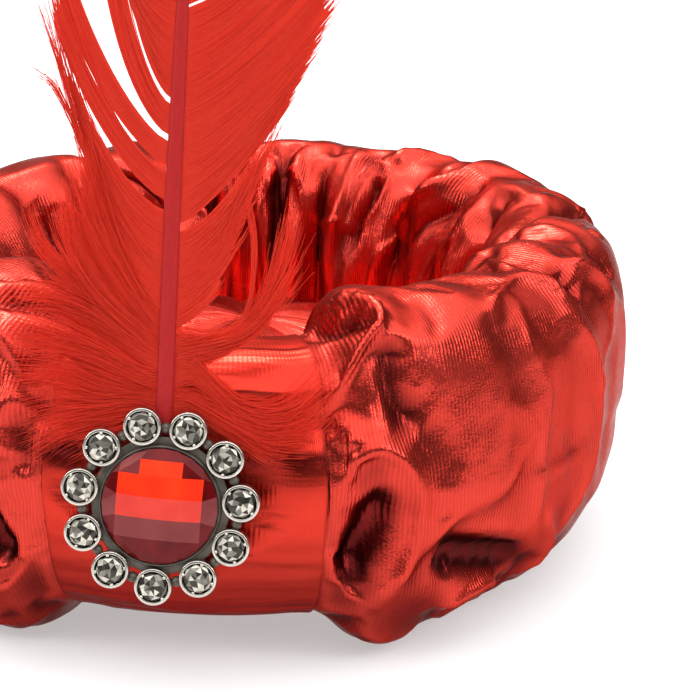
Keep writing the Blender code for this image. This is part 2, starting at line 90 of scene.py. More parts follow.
# Clearances
SEAM_GAP = 0.0003
STONE_GAP = 0.0002

# The photograph's view: heights and distances in metres, angles in degrees
CAMERA_ELEVATION = 17.2
CAMERA_AZIMUTH = 7.1
CAMERA_PAN = 2.98
CAMERA_DISTANCE = 0.738
CAMERA_TARGET_HEIGHT = 0.0601
CAMERA_LENS = 104.2
CAMERA_SENSOR = 36.0

# How finely the cloth is modelled
ROLL_RINGS = 240
ROLL_ROUNDS = 100
BAND_COLUMNS = 90
BAND_ROUNDS = 240

CROWN_COLUMNS = 480
CROWN_ROWS = 48

# How close the roll's points are, as (degrees, density) round the ring and round the roll
RING_DENSITY = (
    (0, 0.3), (12, 0.5), (16, 1.5), (125, 1.4), (140, 1.2),
    (200, 1.0), (270, 0.8), (340, 1.0), (348, 0.5), (359, 0.3),
)
ROLL_DENSITY = ((0, 1.1), (100, 1.2), (180, 1.1), (225, 0.7), (270, 0.4), (315, 0.8))

# The flat cloth: the roll's radius and girth, the band's girth, the sizes that the sheets are cut to, and the
# ribs' pitch
CLOTH_RADIUS = 0.135
CLOTH_ROUND = 0.28
BAND_ROUND = 0.24
RIB_PITCH = 0.00125
WAVE_PERIOD = math.tau / 20

# How far the crown reaches past its seam into the roll, as a share of its radius, and its pleats' heights
CROWN_TUCK = 1.12
PLEAT_HEIGHT = 0.0016
CREST_HEIGHT = 0.0011

# The simulation of the roll's cloth: its frames, how firmly the padding holds the cloth (1 is fast), how far
# each side of the foot it is held fast in degrees, its stiffness, the share of spare cloth, the pressure, the
# furthest that a point moves and where the cloth starts, in metres from the padding
SIM_FRAMES = 20
SIM_HOLD = 0.02
SIM_FOOT = 22
SIM_BEND = 3.0
SIM_SPARE = 0.035
SIM_PRESSURE = 2.5
SIM_CAP = 0.008
SIM_START = -0.002

# The share of the small wrinkles kept, and how round the broad and the creased folds are: 2 is round
WRINKLE_SHARE = 0.3
BROAD_SHAPE = 1.7
CREASED_SHAPE = 1.3

# The depth of a fold that counts as a deep one and takes the full painted shade, in metres
FOLD_SHADE_DEPTH = 0.0030

# The seam's gathers: their height in metres, and how far they reach in degrees round the roll
SEAM_GATHER_HEIGHT = 0.0016
SEAM_GATHER_REACH = 62

# The band's swell and the draw above it, as middle and reach in degrees round the roll, and height in metres
BAND_SWELLS = ((4, 12, 0.0020), (30, 12, -0.0026))

# The band's painted dark reflection, a streak across it, as middle and reach in degrees and depth, and the
# heights of its ripples in metres
DARK_REFLECTION_MIDDLE = 13
DARK_REFLECTION_REACH = 8
DARK_REFLECTION_DEPTH = 1.15
BAND_RIPPLE = 0.00045
BAND_FINE_RIPPLE = 0.00018

# The barbs and the down: their spacing and widths in metres, and points along each
BARB_PITCH = 0.00030
BARB_STEPS = 16
BARB_WIDTH = 0.00042
QUILL_WIDE = 0.0052
DOWN_STEPS = 16
DOWN_WIDTH = 0.00022

# How far the centre stone's girdle reaches over the bezel, where its rows of facets meet, in cells from its
# middle, and the shares of a rim stone's facets painted with light, middle and dark reflections
STONE_SPREAD = 0.0006
STONE_ROWS = (-2.2, -1.5, -0.5, 0.5, 1.5, 2.2)
STONE_REFLECTION_SHARES = (0.27, 0.35, 0.38)

# Small sizes in the brooch: the point left open at the middle of a turned shape, bevels and rounded corners
POINT = 0.0001
BEVEL = 0.0002
CORNER = 0.0004

# The foil's tint where it is seen edge on
FOIL_EDGE = (0.50, 0.38, 0.36, 1)

# The floor's half width, and the studio's walls and ceiling: how bright all round, and how much more upwards
# and to the back, as axis, the directions where it starts and is full, and strength
FLOOR_HALF = 20.0
WORLD_BASE = 0.13
WORLD_LIGHT = (("Z", 0.36, 0.80, 2.5), ("Y", 0.0, 0.9, 0.20))

# The soft lamps: name, place, size in metres and power in watts
LAMPS = (
    ("overhead", (-0.15, 0.35, 1.4), (0.40, 0.32), 15),
    ("left_front", (-1.3, -0.9, 0.9), (0.3, 0.6), 8),
    ("right_front", (1.4, -0.7, 1.0), (0.3, 0.6), 8),
)

# Sections round the ring, at degrees from the front towards +X, as in the solid model
SECTIONS = np.array(
    [
        # degrees, thick, height, lean, foot
        (0, 0.88, 0.73, 0.00, 0.0),
        (18, 0.88, 0.73, 0.00, 0.0),
        (25, 1.12, 0.99, 0.00, 1.0),
        (33, 1.06, 1.02, 0.00, 0.2),
        (44, 1.04, 1.01, 0.02, 0.0),
        (60, 1.07, 0.99, 0.06, 0.4),
        (90, 1.04, 1.00, 0.14, 0.6),
        (110, 1.04, 1.02, 0.14, 0.8),
        (138, 1.00, 1.01, 0.02, 1.0),
        (160, 1.00, 1.00, 0.00, 1.0),
        (185, 0.98, 1.01, 0.00, 1.0),
        (225, 1.02, 0.98, 0.02, 1.0),
        (262, 1.04, 1.01, 0.12, 0.6),
        (300, 1.08, 1.00, 0.05, 0.4),
        (325, 1.20, 1.02, 0.00, 0.9),
        (335, 1.16, 0.99, 0.00, 1.0),
        (342, 0.88, 0.73, 0.00, 0.0),
    ]
)

GATHERS = np.array(
    [
        # folds, inner depth, outer depth, phase in degrees, drift in degrees per turn of the roll
        (7, 0.010, 0.012, 250, 160),
        (11, 0.040, 0.002, 20, 300),
        (17, 0.045, 0.003, 75, -240),
        (23, 0.022, 0.000, 140, 420),
    ]
)

# Folds of the cloth. Each runs along a few places on the unrolled cloth, as degrees round the ring and round
# the roll. Height is a ridge's, or a hollow's if negative, and left and right are how far it reaches to
# either side of its run, all in millimetres
BROAD_FOLDS = (
    # height, left, right, run
    # Beside the band at the top: the cloth flares over, with an opening in it and a broad hollow beside it
    (3.0, 1.6, 8.0, ((21, 106), (25, 88), (27, 74), (26.5, 63), (24, 56), (21, 46), (18, 36))),
    (-4.5, 4.0, 4.0, ((18, 95), (22, 83), (24, 72))),
    (-4.5, 7.0, 8.0, ((28, 58), (27, 44), (27, 30), (30, 14))),
    # The drop-shaped hollow beside the band, and the small tucks above it
    (2.4, 3.5, 3.5, ((18, 34), (20.5, 22), (21, 14))),
    (-3.5, 3.0, 3.0, ((19, 22), (18.5, 10), (18, 0))),
    (3.0, 6.0, 3.5, ((18, -8), (19.5, 6), (23, 13), (26.5, 10), (29, 1), (29, -9), (27.5, -20), (24, -34))),
    (-8.0, 4.5, 4.5, ((24, 4), (24, -5), (22, -16), (20.5, -26))),
    (2.2, 2.5, 4.0, ((18.5, -16), (19.5, -30), (23, -36))),
    # The pocket low on the front, under one long crease
    (2.4, 2.5, 8.0, ((48, 4), (42, -3), (36, -5), (32, -10), (29.5, -18))),
    (-7.0, 5.0, 5.0, ((31, -19), (38, -22), (45, -30), (51, -38))),
    (2.8, 4.0, 4.0, ((33, -42), (38, -39), (44, -40), (47, -45))),
    (-5.0, 4.0, 4.0, ((36, -51), (43, -51), (50, -50))),
    (2.2, 6.0, 6.0, ((22, -50), (28, -60), (34, -70))),
    (1.6, 5.0, 3.0, ((51, -12), (54, -24), (55, -38), (54, -52))),
    # Long soft folds down the right side
    (-1.1, 7.0, 7.0, ((45, 62), (45, 35), (46, 12))),
    (1.0, 5.0, 7.0, ((51, 66), (50, 39), (52, 19), (51, 1), (50, -12), (53, -34))),
    (-1.1, 6.0, 6.0, ((57, 48), (58, 22), (58, 0), (57, -16))),
    (1.1, 4.0, 7.0, ((58, 60), (61, 42), (65, 22), (66, 0), (63, -14), (55, -31))),
    (-1.0, 6.0, 7.0, ((71, 26), (72, 4), (70, -20))),
    (0.9, 6.0, 6.0, ((78, 40), (80, 12), (78, -24))),
    (-1.1, 7.0, 7.0, ((90, 44), (88, 8), (86, -30))),
    (1.0, 7.0, 7.0, ((104, 48), (100, 10), (96, -32))),
    (-1.2, 7.0, 7.0, ((116, 50), (112, 12), (110, -26))),
    # Crossing folds on the shoulder at the right
    (1.6, 4.0, 5.0, ((45, 52), (46, 65), (51, 77), (56, 82), (60, 70), (62, 48))),
    (-3.0, 4.0, 4.0, ((63, 73), (63, 62), (65, 54))),
    (2.6, 4.0, 4.5, ((66, 78), (70, 64), (73, 48), (72, 30))),
    (-2.6, 4.0, 4.0, ((78, 76), (80, 60), (80, 46))),
    (-3.2, 4.5, 4.5, ((68, 122), (62, 108), (55, 92))),
    (2.2, 4.0, 5.0, ((72, 132), (66, 119), (59, 95), (58, 84))),
    (-5.0, 5.0, 4.0, ((86, 134), (88, 117), (94, 106), (99, 94), (104, 78))),
    (2.4, 4.5, 5.0, ((80, 122), (83, 109), (82, 92), (74, 72))),
    (-3.0, 4.5, 4.5, ((107, 72), (106, 54), (104, 40))),
    (-2.4, 4.0, 4.0, ((96, 86), (89, 79), (88, 66))),
    (1.8, 5.0, 5.0, ((126, 107), (114, 109), (106, 100), (110, 84))),
    # Gathers down the inner wall at the back
    (3.4, 4.5, 5.0, ((151, 122), (150, 106), (147, 88), (139, 80))),
    (-6.0, 4.0, 4.5, ((136, 78), (133, 100), (133, 118), (138, 132), (143, 150), (146, 186))),
    (3.4, 4.0, 7.0, ((128, 108), (130, 126), (135, 138), (143, 156), (149, 188))),
    (-3.5, 4.0, 4.0, ((123, 118), (127, 140), (134, 158), (139, 188))),
    (2.4, 5.0, 5.0, ((112, 126), (118, 148), (127, 188))),
    (-4.5, 4.0, 4.0, ((156, 172), (154, 156), (152, 138), (153, 126))),
    (3.0, 4.0, 4.0, ((160, 100), (159, 122), (160, 146), (164, 188))),
    (-4.0, 5.0, 5.0, ((167, 90), (166, 116), (167, 140), (169, 188))),
    (3.2, 4.0, 4.5, ((175, 104), (174, 130), (171, 150), (175, 188))),
    (-4.5, 5.0, 5.0, ((184, 96), (181, 122), (180, 150), (180, 188))),
    (3.0, 5.0, 5.0, ((193, 104), (190, 130), (187, 186))),
    (-3.6, 5.0, 5.0, ((202, 92), (198, 120), (196, 186))),
    (-3.0, 5.0, 5.0, ((104, 128), (108, 150), (114, 186))),
    (-3.4, 5.0, 5.0, ((74, 140), (78, 158), (86, 186))),
    (2.4, 5.0, 5.0, ((92, 146), (96, 160), (101, 188))),
    (-3.0, 5.0, 5.0, ((46, 118), (48, 142), (52, 184))),
    (2.2, 5.0, 5.0, ((58, 134), (62, 156), (67, 186))),
    (2.4, 5.0, 5.0, ((32, 112), (34, 140), (36, 184))),
    # The back's outer side
    (-2.2, 7.0, 7.0, ((130, 60), (128, 20), (124, -28))),
    (2.0, 6.0, 7.0, ((142, 62), (140, 22), (136, -28))),
    (-2.2, 7.0, 7.0, ((156, 70), (152, 24), (148, -28))),
    (1.8, 7.0, 7.0, ((168, 60), (166, 20), (162, -30))),
    (-2.2, 7.0, 7.0, ((182, 66), (178, 24), (176, -28))),
)

SHARP_FOLDS = (
    # height, left, right, run
    # The flare's folded edge beside the band, and the small tucks under it
    (1.4, 1.0, 4.0, ((21, 104), (25, 87), (27, 74), (26.5, 64), (24, 57), (21, 47), (18, 37))),
    (-1.0, 1.2, 1.6, ((17, 92), (21, 82), (25, 68))),
    (0.9, 1.4, 1.4, ((19, 33), (21, 21), (20.5, 10), (19.5, 2))),
    (-0.9, 1.2, 1.2, ((24, 34), (24.5, 24), (25, 17))),
    # The rim of the drop-shaped hollow
    (1.3, 3.6, 1.3, (
        (18, -8), (19, 3), (21, 11), (24, 13.5), (27, 9), (29, 1), (28.7, -9), (27, -20), (23.5, -33))),
    (1.1, 1.2, 1.6, ((18.3, -15), (19, -27), (21, -33), (24, -35))),
    # The pocket's long crease, and the folded edges inside it
    (1.0, 1.2, 3.4, ((50, 6), (42, -3), (36, -4.5), (31.5, -10), (28.5, -19))),
    (0.8, 1.6, 2.0, ((47, -18), (40, -14), (33, -11))),
    (1.5, 1.4, 1.6, ((34, -42), (38, -38), (42.5, -37.5), (45, -41), (44, -46))),
    (1.0, 1.4, 1.4, ((40, -54), (45, -55), (50, -53))),
    (0.8, 2.0, 1.4, ((52, -14), (55, -26), (55.5, -38), (53, -50))),
    # Creases of the right side and the shoulder
    (0.8, 1.6, 2.6, ((51, 64), (50, 39), (52, 19), (51, 1), (50, -12), (52, -34))),
    (0.9, 1.4, 3.0, ((58, 59), (61, 42), (64.5, 23), (66, 0), (63, -14), (54, -31))),
    (0.7, 1.5, 2.0, ((72, 27), (67, 19), (65, 6))),
    (0.9, 1.6, 2.4, ((45, 53), (46, 65), (51, 77), (56, 81), (59.5, 71), (61, 59), (62, 46))),
    (1.2, 1.5, 1.8, ((66, 75), (70, 63), (72.5, 49))),
    (0.8, 1.4, 1.8, ((62, 76), (62, 60), (63, 45))),
    (1.2, 1.5, 2.2, ((67, 121), (60, 98), (60, 76))),
    (-1.3, 1.6, 1.2, ((87, 131), (88, 117), (94, 107), (98, 95), (103, 79))),
    (0.9, 1.8, 1.6, ((82, 110), (83, 92), (74, 71))),
    (-1.0, 1.4, 1.4, ((96, 84), (89, 79), (88, 67))),
    (0.9, 1.6, 1.6, ((105, 74), (110, 60), (108, 42))),
    # Folded edges of the gathers at the back
    (1.6, 1.3, 1.3, (
        (156, 168), (154, 159), (150, 147), (149, 128), (153, 118), (157, 131), (158, 144), (159, 155))),
    (1.2, 1.4, 1.8, ((170, 160), (163, 157), (159, 154))),
    (1.4, 1.4, 1.8, ((179, 150), (178, 136), (175.5, 129), (173, 136), (171.5, 149), (170, 160))),
    (1.6, 1.4, 3.0, ((130, 119), (131, 128), (135, 139), (143, 156), (148, 173))),
    (-1.4, 1.4, 1.4, ((133, 102), (132.5, 118), (138, 131), (144, 147))),
    (1.2, 1.6, 2.2, ((150, 118), (149, 104), (146, 88))),
    (1.2, 1.5, 2.0, ((115, 146), (120, 156), (124, 164))),
    (1.0, 1.6, 1.6, ((190, 108), (188, 134), (190, 168))),
    (-1.0, 1.5, 1.5, ((200, 100), (197, 126), (199, 168))),
    (1.4, 1.4, 2.4, ((120, 150), (126, 168), (130, 190))),
    (1.2, 1.4, 2.0, ((139, 146), (147, 166), (151, 190))),
    (1.2, 1.4, 1.8, ((166, 160), (168, 176), (170, 190))),
)

# Small wrinkles over the whole roll: cells round the ring and round the roll, height in metres, seed
WRINKLES = ((46, 5, 0.0011, 3), (74, 9, 0.0007, 5), (130, 17, 0.0003, 8))


def periodic(degrees, table, column):
    """One column of a table round the ring, smoothed between its rows."""
    fine = np.arange(360.0)
    raw = np.interp(fine, table[:, 0], table[:, column], period=360)
    kernel = np.hanning(13)[1:-1]
    reach = len(kernel) // 2
    wrapped = np.concatenate([raw[-reach:], raw, raw[:reach]])
    smooth = np.convolve(wrapped, kernel / kernel.sum(), "valid")
    return np.interp(degrees % 360, fine, smooth, period=360)


def signed_power(value, power):
    return np.sign(value) * np.abs(value) ** power


def fade(value):
    """Falls smoothly from 1 to 0 as value goes from 0 to 1."""
    value = np.clip(value, 0, 1)
    return 1 - value * value * (3 - 2 * value)


def half_angle_of_band():
    return BAND_WIDTH / 2 / (RING_WIDTH**2 / (2 * RING_DEPTH))


def boss_height():
    return QUILL_THICK + 2 * SEAM_GAP


def plate_front():
    return boss_height() + PLATE_WALL


def ring_shift():
    """How far back the ring's centre is."""
    half_thick = ROLL_THICK / 2 * periodic(0.0, SECTIONS, 1)
    front = RING_DEPTH / 2 - ROLL_THICK / 2 + half_thick - BROOCH_PRESS
    front += SEAM_GAP + BAND_WALL + SEAM_GAP + plate_front() + STONE_GAP + STONE_SEAT + CENTRE_STONE_DOME
    return (front - RING_DEPTH / 2) / 2


def press_frame():
    """Where the brooch presses in: its point on the ring's front, and its normal."""
    half_thick = ROLL_THICK / 2 * periodic(0.0, SECTIONS, 1)
    front = RING_DEPTH / 2 - ROLL_THICK / 2 + half_thick
    point = np.array([BROOCH_SIDE, ring_shift() - front + BROOCH_PRESS, BROOCH_HEIGHT])
    normal = np.array([0, -math.cos(BROOCH_LEAN), math.sin(BROOCH_LEAN)])
    return point, normal


def ring_degrees(angle):
    """An angle in radians as degrees from -180 to 180."""
    return (np.degrees(angle) + 180) % 360 - 180


def clear_of_band(ring):
    """0 under the band, rising to 1 a little way past its edges."""
    reach = math.degrees(half_angle_of_band())
    return 1 - fade((np.abs(ring_degrees(ring)) - reach) / (BAND_MARGIN * reach))


def off_foot(roll):
    """1 on the top and the sides, falling to 0 where the roll turns under to its foot."""
    return fade(np.maximum(0, -np.sin(roll)) * 1.25)


def gathers(ring, roll):
    """The drawn-in folds, strongest at the inner wall and gone at the foot and under the band."""
    inner = ((1 - np.cos(roll)) / 2) ** 1.3
    total = 0
    for count, inner_depth, outer_depth, phase, drift in GATHERS:
        angle = count * ring + math.radians(phase) + math.radians(drift) * roll / math.tau
        total = total + (inner_depth * inner + outer_depth * (1 - inner)) * np.sin(angle)
    return total * off_foot(roll) * clear_of_band(ring)


def smooth_run(run, parts=5):
    """More points along a run, on a smooth curve through the ones given."""
    run = np.array(run, float)
    ends = np.concatenate([[2 * run[0] - run[1]], run, [2 * run[-1] - run[-2]]])
    made = []
    for before, first, second, after in zip(ends, ends[1:], ends[2:], ends[3:]):
        for t in np.arange(parts) / parts:
            made.append(
                0.5
                * (
                    2 * first
                    + (second - before) * t
                    + (2 * before - 5 * first + 4 * second - after) * t**2
                    + (3 * first - before - 3 * second + after) * t**3
                )
            )
    return np.array([*made, run[-1]])


def other_side(ring, roll):
    """A fold's place on the hat's other side, a little further round."""
    return -ring - 5 + 3 * math.sin(ring / 9), 2 + 0.98 * roll


def mirrored(rows):
    """The folds of the hat's other side: the same kinds, a little softer."""
    return tuple(
        (0.9 * height, right, left, tuple(other_side(ring, roll) for ring, roll in run))
        for height, left, right, run in rows
    )


def fold_heights(ring, roll, rows, sharp):
    """Height of the folds over the cloth, in metres. Sharp is 2 for round folds and less for creased ones."""
    across = (RING_WIDTH + RING_DEPTH) / 4 * math.radians(1)
    around = (ROLL_THICK + ROLL_HEIGHT) / 4 * math.radians(1)
    ring_now, roll_now = np.broadcast_arrays(ring_degrees(ring), np.degrees(roll))
    total = np.zeros(ring_now.shape)
    for height, left, right, run in rows:
        line = smooth_run(run)
        middle = line.mean(0)
        x = ((ring_now - middle[0] + 180) % 360 - 180) * across
        y = ((roll_now - middle[1] + 180) % 360 - 180) * around
        line = (line - middle) * (across, around)
        reach = max(left, right) / 1000
        low, high = line.min(0) - 3 * reach, line.max(0) + 3 * reach
        near = (x > low[0]) & (x < high[0]) & (y > low[1]) & (y < high[1])
        if not near.any():
            continue
        px, py = x[near], y[near]
        lengths = np.linalg.norm(np.diff(line, axis=0), axis=1)
        best, side, place = np.full(px.shape, 1e9), np.zeros(px.shape), np.zeros(px.shape)
        done = 0.0
        for start, end, length in zip(line, line[1:], lengths):
            dx, dy = (end - start) / length
            along = np.clip((px - start[0]) * dx + (py - start[1]) * dy, 0, length)
            off_x, off_y = px - start[0] - along * dx, py - start[1] - along * dy
            away = np.hypot(off_x, off_y)
            closer = away < best
            best = np.where(closer, away, best)
            side = np.where(closer, dx * off_y - dy * off_x, side)
            place = np.where(closer, (done + along) / lengths.sum(), place)
            done += length
        width = np.where(side > 0, left, right) / 1000
        ends = np.clip(np.minimum(place, 1 - place) * 5, 0.25, 1)
        total[near] += height / 1000 * ends * np.exp(-((best / width) ** sharp))
    return total


def lattice_noise(u, v, cells, seed):
    """Smooth noise from -1 to 1 that repeats after one turn of u and one of v."""
    values = np.random.default_rng(seed).uniform(-1, 1, cells)
    x, y = (u % 1) * cells[0], (v % 1) * cells[1]
    i, j = np.floor(x).astype(int), np.floor(y).astype(int)
    s, t = x - i, y - j
    s, t = s * s * (3 - 2 * s), t * t * (3 - 2 * t)
    i, j = i % cells[0], j % cells[1]
    i_next, j_next = (i + 1) % cells[0], (j + 1) % cells[1]
    low = values[i, j] * (1 - s) + values[i_next, j] * s
    high = values[i, j_next] * (1 - s) + values[i_next, j_next] * s
    return low * (1 - t) + high * t


def wrinkles(ring, roll):
    """Small sharp-crested wrinkles, long round the roll and narrow along the ring."""
    u, v = ring / math.tau, roll / math.tau
    u = u + 0.012 * lattice_noise(u, v, (14, 5), 21) + 0.006 * lattice_noise(u, v, (34, 11), 22)
    v = v + 0.05 * lattice_noise(u, v, (18, 4), 23)
    patch = 0.55 + 0.45 * lattice_noise(u, v, (16, 4), 24)
    total = 0
    for cells_round, cells_over, height, seed in WRINKLES:
        crest = 1 - 2 * np.abs(lattice_noise(u, v, (cells_round, cells_over), seed))
        total = total + height * crest
    return total * patch * off_foot(roll) * clear_of_band(ring)


def seam_gathers(ring, roll):
    """Fine gathers where the cloth is drawn in along the inner wall's seam."""
    u, v = ring / math.tau, roll / math.tau
    drift = u + 0.004 * lattice_noise(u, v, (40, 6), 25) + 0.006 * lattice_noise(u, v, (15, 4), 26)
    crest = 1 - 2 * np.abs(lattice_noise(drift, v, (88, 3), 27))
    near = fade(np.abs(np.degrees(roll) - 184) / SEAM_GATHER_REACH)
    return SEAM_GATHER_HEIGHT * crest * near * clear_of_band(ring)


def band_swell(ring, roll):
    """The band's front swells low down and draws in above, beside the brooch."""
    swell = 0
    for middle, reach, height in BAND_SWELLS:
        swell = swell + height * np.exp(-(((ring_degrees(roll) - middle) / reach) ** 2))
    return swell * (1 - clear_of_band(ring))


def roll_points(ring, roll, proud=0.0, creases=0.0):
    """Points of the padded ring's surface, proud metres outside it. Both angles are in radians."""
    ring, roll = np.broadcast_arrays(ring, roll)
    degrees = np.degrees(ring)
    half_x = RING_WIDTH / 2 - ROLL_THICK / 2
    half_y = RING_DEPTH / 2 - ROLL_THICK / 2
    outward = np.stack([np.sin(ring) / half_x, -np.cos(ring) / half_y], -1)
    outward /= np.linalg.norm(outward, axis=-1, keepdims=True)
    half_thick = ROLL_THICK / 2 * periodic(degrees, SECTIONS, 1)
    half_height = ROLL_HEIGHT / 2 * periodic(degrees, SECTIONS, 2)
    out = signed_power(np.cos(roll), ROLL_SQUARENESS)
    rise = signed_power(np.sin(roll), ROLL_SQUARENESS)
    lean = periodic(degrees, SECTIONS, 3) * ROLL_THICK / 2 * rise
    face = np.stack([np.cos(roll) / half_thick, np.sin(roll) / half_height], -1)
    face /= np.linalg.norm(face, axis=-1, keepdims=True)
    relief = gathers(ring, roll) * ROLL_THICK + band_swell(ring, roll) + proud
    if creases:
        broad = BROAD_FOLDS + mirrored(BROAD_FOLDS)
        relief = relief + fold_heights(ring, roll, broad, BROAD_SHAPE) * clear_of_band(ring)
        relief = relief + creases * wrinkles(ring, roll)
    reach = half_thick * out + lean + face[..., 0] * relief
    middle = ROLL_HEIGHT / 2 - ROLL_SETTLE + ROLL_FOOT
    rest = periodic(degrees, SECTIONS, 4) * ROLL_FOOT * np.maximum(-rise, 0)
    x = half_x * np.sin(ring) + reach * outward[..., 0]
    y = ring_shift() - half_y * np.cos(ring) + reach * outward[..., 1]
    z = np.maximum(middle + half_height * rise - rest + face[..., 1] * relief, 0)
    return pressed(np.stack([x, y, z], -1), proud)


def pressed(points, proud):
    """The points with the brooch's flat seat pressed in at the front."""
    point, normal = press_frame()
    offset = points - point - np.asarray(proud)[..., None] * normal
    depth = offset @ normal
    away = np.linalg.norm(offset - depth[..., None] * normal, axis=-1)
    push = np.maximum(depth, 0) * fade((away - PRESS_RADIUS) / PRESS_FADE)
    return points - push[..., None] * normal


# Node materials


class Look:
    """A material with short calls for its nodes."""

    def __init__(self, name):
        self.material = bpy.data.materials.new(name)
        self.material.use_nodes = True
        self.nodes = self.material.node_tree.nodes
        self.links = self.material.node_tree.links
        self.shader = self.nodes["Principled BSDF"]

    def set(self, **values):
        for name, value in values.items():
            self.shader.inputs[name.replace("_", " ")].default_value = value

    def add(self, kind, settings=None, **inputs):
        """A node of this kind. An input is a value, or another node's output to link. i0 is the first one."""
        node = self.nodes.new(kind)
        for name, value in (settings or {}).items():
            setattr(node, name, value)
        for name, value in inputs.items():
            numbered = name[0] == "i" and name[1:].isdigit()
            self.put(node.inputs[int(name[1:]) if numbered else name], value)
        return node

    def put(self, socket, value):
        if isinstance(value, bpy.types.NodeSocket):
            self.links.new(value, socket)
        else:
            socket.default_value = value

    def feed(self, name, value):
        self.put(self.shader.inputs[name], value)

    def maths(self, operation, first, second=0.0):
        return self.add("ShaderNodeMath", {"operation": operation}, i0=first, i1=second).outputs[0]

    def remap(self, value, low, high):
        node = self.add("ShaderNodeMapRange", None, Value=value)
        node.inputs["To Min"].default_value = low
        node.inputs["To Max"].default_value = high
        return node.outputs[0]

    def mix(self, share, first, second):
        node = self.add("ShaderNodeMix", {"data_type": "RGBA"}, i0=share)
        self.put(node.inputs[6], first)
        self.put(node.inputs[7], second)
        return node.outputs[2]

    def noise(self, vector, scale, detail=2.0, **extra):
        inputs = {"Vector": vector, "Scale": scale, "Detail": detail, **extra}
        return self.add("ShaderNodeTexNoise", None, **inputs).outputs["Fac"]

    def bump(self, height, distance, strength=1.0, before=None):
        node = self.add("ShaderNodeBump", None, Height=height, Distance=distance, Strength=strength)
        if before is not None:
            self.links.new(before, node.inputs["Normal"])
        return node.outputs["Normal"]

    def paint_shade_in_folds(self):
        """Paints shade into the colour where the mesh says that it lies in a fold or on the underside, and
        paints the band's dark reflection.
        """
        socket = self.shader.inputs["Base Color"]
        colour = socket.links[0].from_socket
        hollow = self.add("ShaderNodeAttribute", {"attribute_name": "hollow"}).outputs["Fac"]
        share = self.maths("MULTIPLY", hollow, 0.85)
        # Mixes in a near-black red as painted shade
        self.links.new(self.mix(share, colour, (0.07, 0.002, 0.002, 1)), socket)

    def foil(self, coat_roughness):
        """The shader's own settings for foil under a thin clear film."""
        self.set(Metallic=0.95, Coat_Weight=0.08, Coat_Roughness=coat_roughness, Coat_IOR=1.5)
        self.set(Specular_Tint=FOIL_EDGE)

    def ribs(self, vector, pitch, distortion, detail=2.0, detail_scale=1.0):
        """Ribs across the cloth's first direction."""
        wave = self.add("ShaderNodeTexWave", {"wave_type": "BANDS", "bands_direction": "X"}, Vector=vector)
        wave.inputs["Scale"].default_value = WAVE_PERIOD / pitch
        wave.inputs["Distortion"].default_value = distortion
        wave.inputs["Detail"].default_value = detail
        wave.inputs["Detail Scale"].default_value = detail_scale
        return wave.outputs["Fac"]

    def stretched(self, vector, scale):
        node = self.add("ShaderNodeMapping", None, Vector=vector)
        node.inputs["Scale"].default_value = scale
        return node.outputs[0]

    def place(self):
        return self.add("ShaderNodeTexCoord").outputs["Object"]

    def cloth(self):
        return self.add("ShaderNodeUVMap", {"uv_map": "cloth"}).outputs["UV"]


def foil_look(name):
    """Red foil printed on a ribbed knit: the ribs run round the roll, broken up into stitches. The ribs'
    crests are painted a lighter red as painted highlight, and the folds and underside take painted shade.
    """
    look = Look(name)
    cloth, place = look.cloth(), look.place()
    ribs = look.ribs(cloth, RIB_PITCH, 1.6, 1.5, 0.5)
    stitch = look.noise(look.stretched(cloth, (1.0, 0.35, 1.0)), 1500, 1.0)
    patch = look.noise(place, 24, 3.0)
    worn = look.noise(place, 60, 3.0)
    stipple = look.noise(cloth, 1700, 2.0)
    crush = look.noise(place, 150, 4.0, Roughness=0.6)
    soft = look.noise(place, 48, 2.0)
    colour = look.mix(patch, (0.37, 0.021, 0.013, 1), (0.54, 0.039, 0.026, 1))
    # The ribs' crests painted a lighter orange red, a painted highlight
    rib = look.maths("MULTIPLY", ribs, stitch)
    colour = look.mix(look.maths("MULTIPLY", rib, 0.5), colour, (0.74, 0.066, 0.044, 1))
    look.feed("Base Color", colour)
    # Painted shade in the folds and on the underside
    look.paint_shade_in_folds()
    look.foil(0.35)
    look.feed("Roughness", look.remap(patch, 0.20, 0.34))
    normal = look.bump(soft, 0.0018, 0.6)
    normal = look.bump(crush, 0.00036, 0.6, normal)
    clear = look.maths("MULTIPLY", rib, look.maths("MAXIMUM", look.remap(worn, -1.3, 2.9), 0.25))
    normal = look.bump(clear, 0.00019, 0.9, normal)
    normal = look.bump(stipple, 0.00010, 0.9, normal)
    look.feed("Normal", normal)
    return look.material


def band_look():
    """The band's smoother, shinier side of the same foil cloth, with fine wrinkles along it, painted shade on
    its underside and a painted dark reflection streaked across it.
    """
    look = Look("band_foil")
    cloth, place = look.cloth(), look.place()
    streak = look.noise(look.stretched(place, (0.16, 0.5, 1.0)), 190, 3.0)
    patch = look.noise(place, 40, 2.0)
    stipple = look.noise(cloth, 1600, 2.0)
    look.feed("Base Color", look.mix(patch, (0.42, 0.019, 0.010, 1), (0.58, 0.034, 0.019, 1)))
    look.foil(0.3)
    look.feed("Roughness", look.remap(patch, 0.24, 0.36))
    # Painted shade on the underside and the painted dark reflection
    look.paint_shade_in_folds()
    normal = look.bump(streak, 0.0007, 0.5)
    normal = look.bump(look.ribs(cloth, RIB_PITCH * 0.8, 0.8), 0.00007, 0.6, normal)
    normal = look.bump(stipple, 0.00006, 0.7, normal)
    look.feed("Normal", normal)
    return look.material


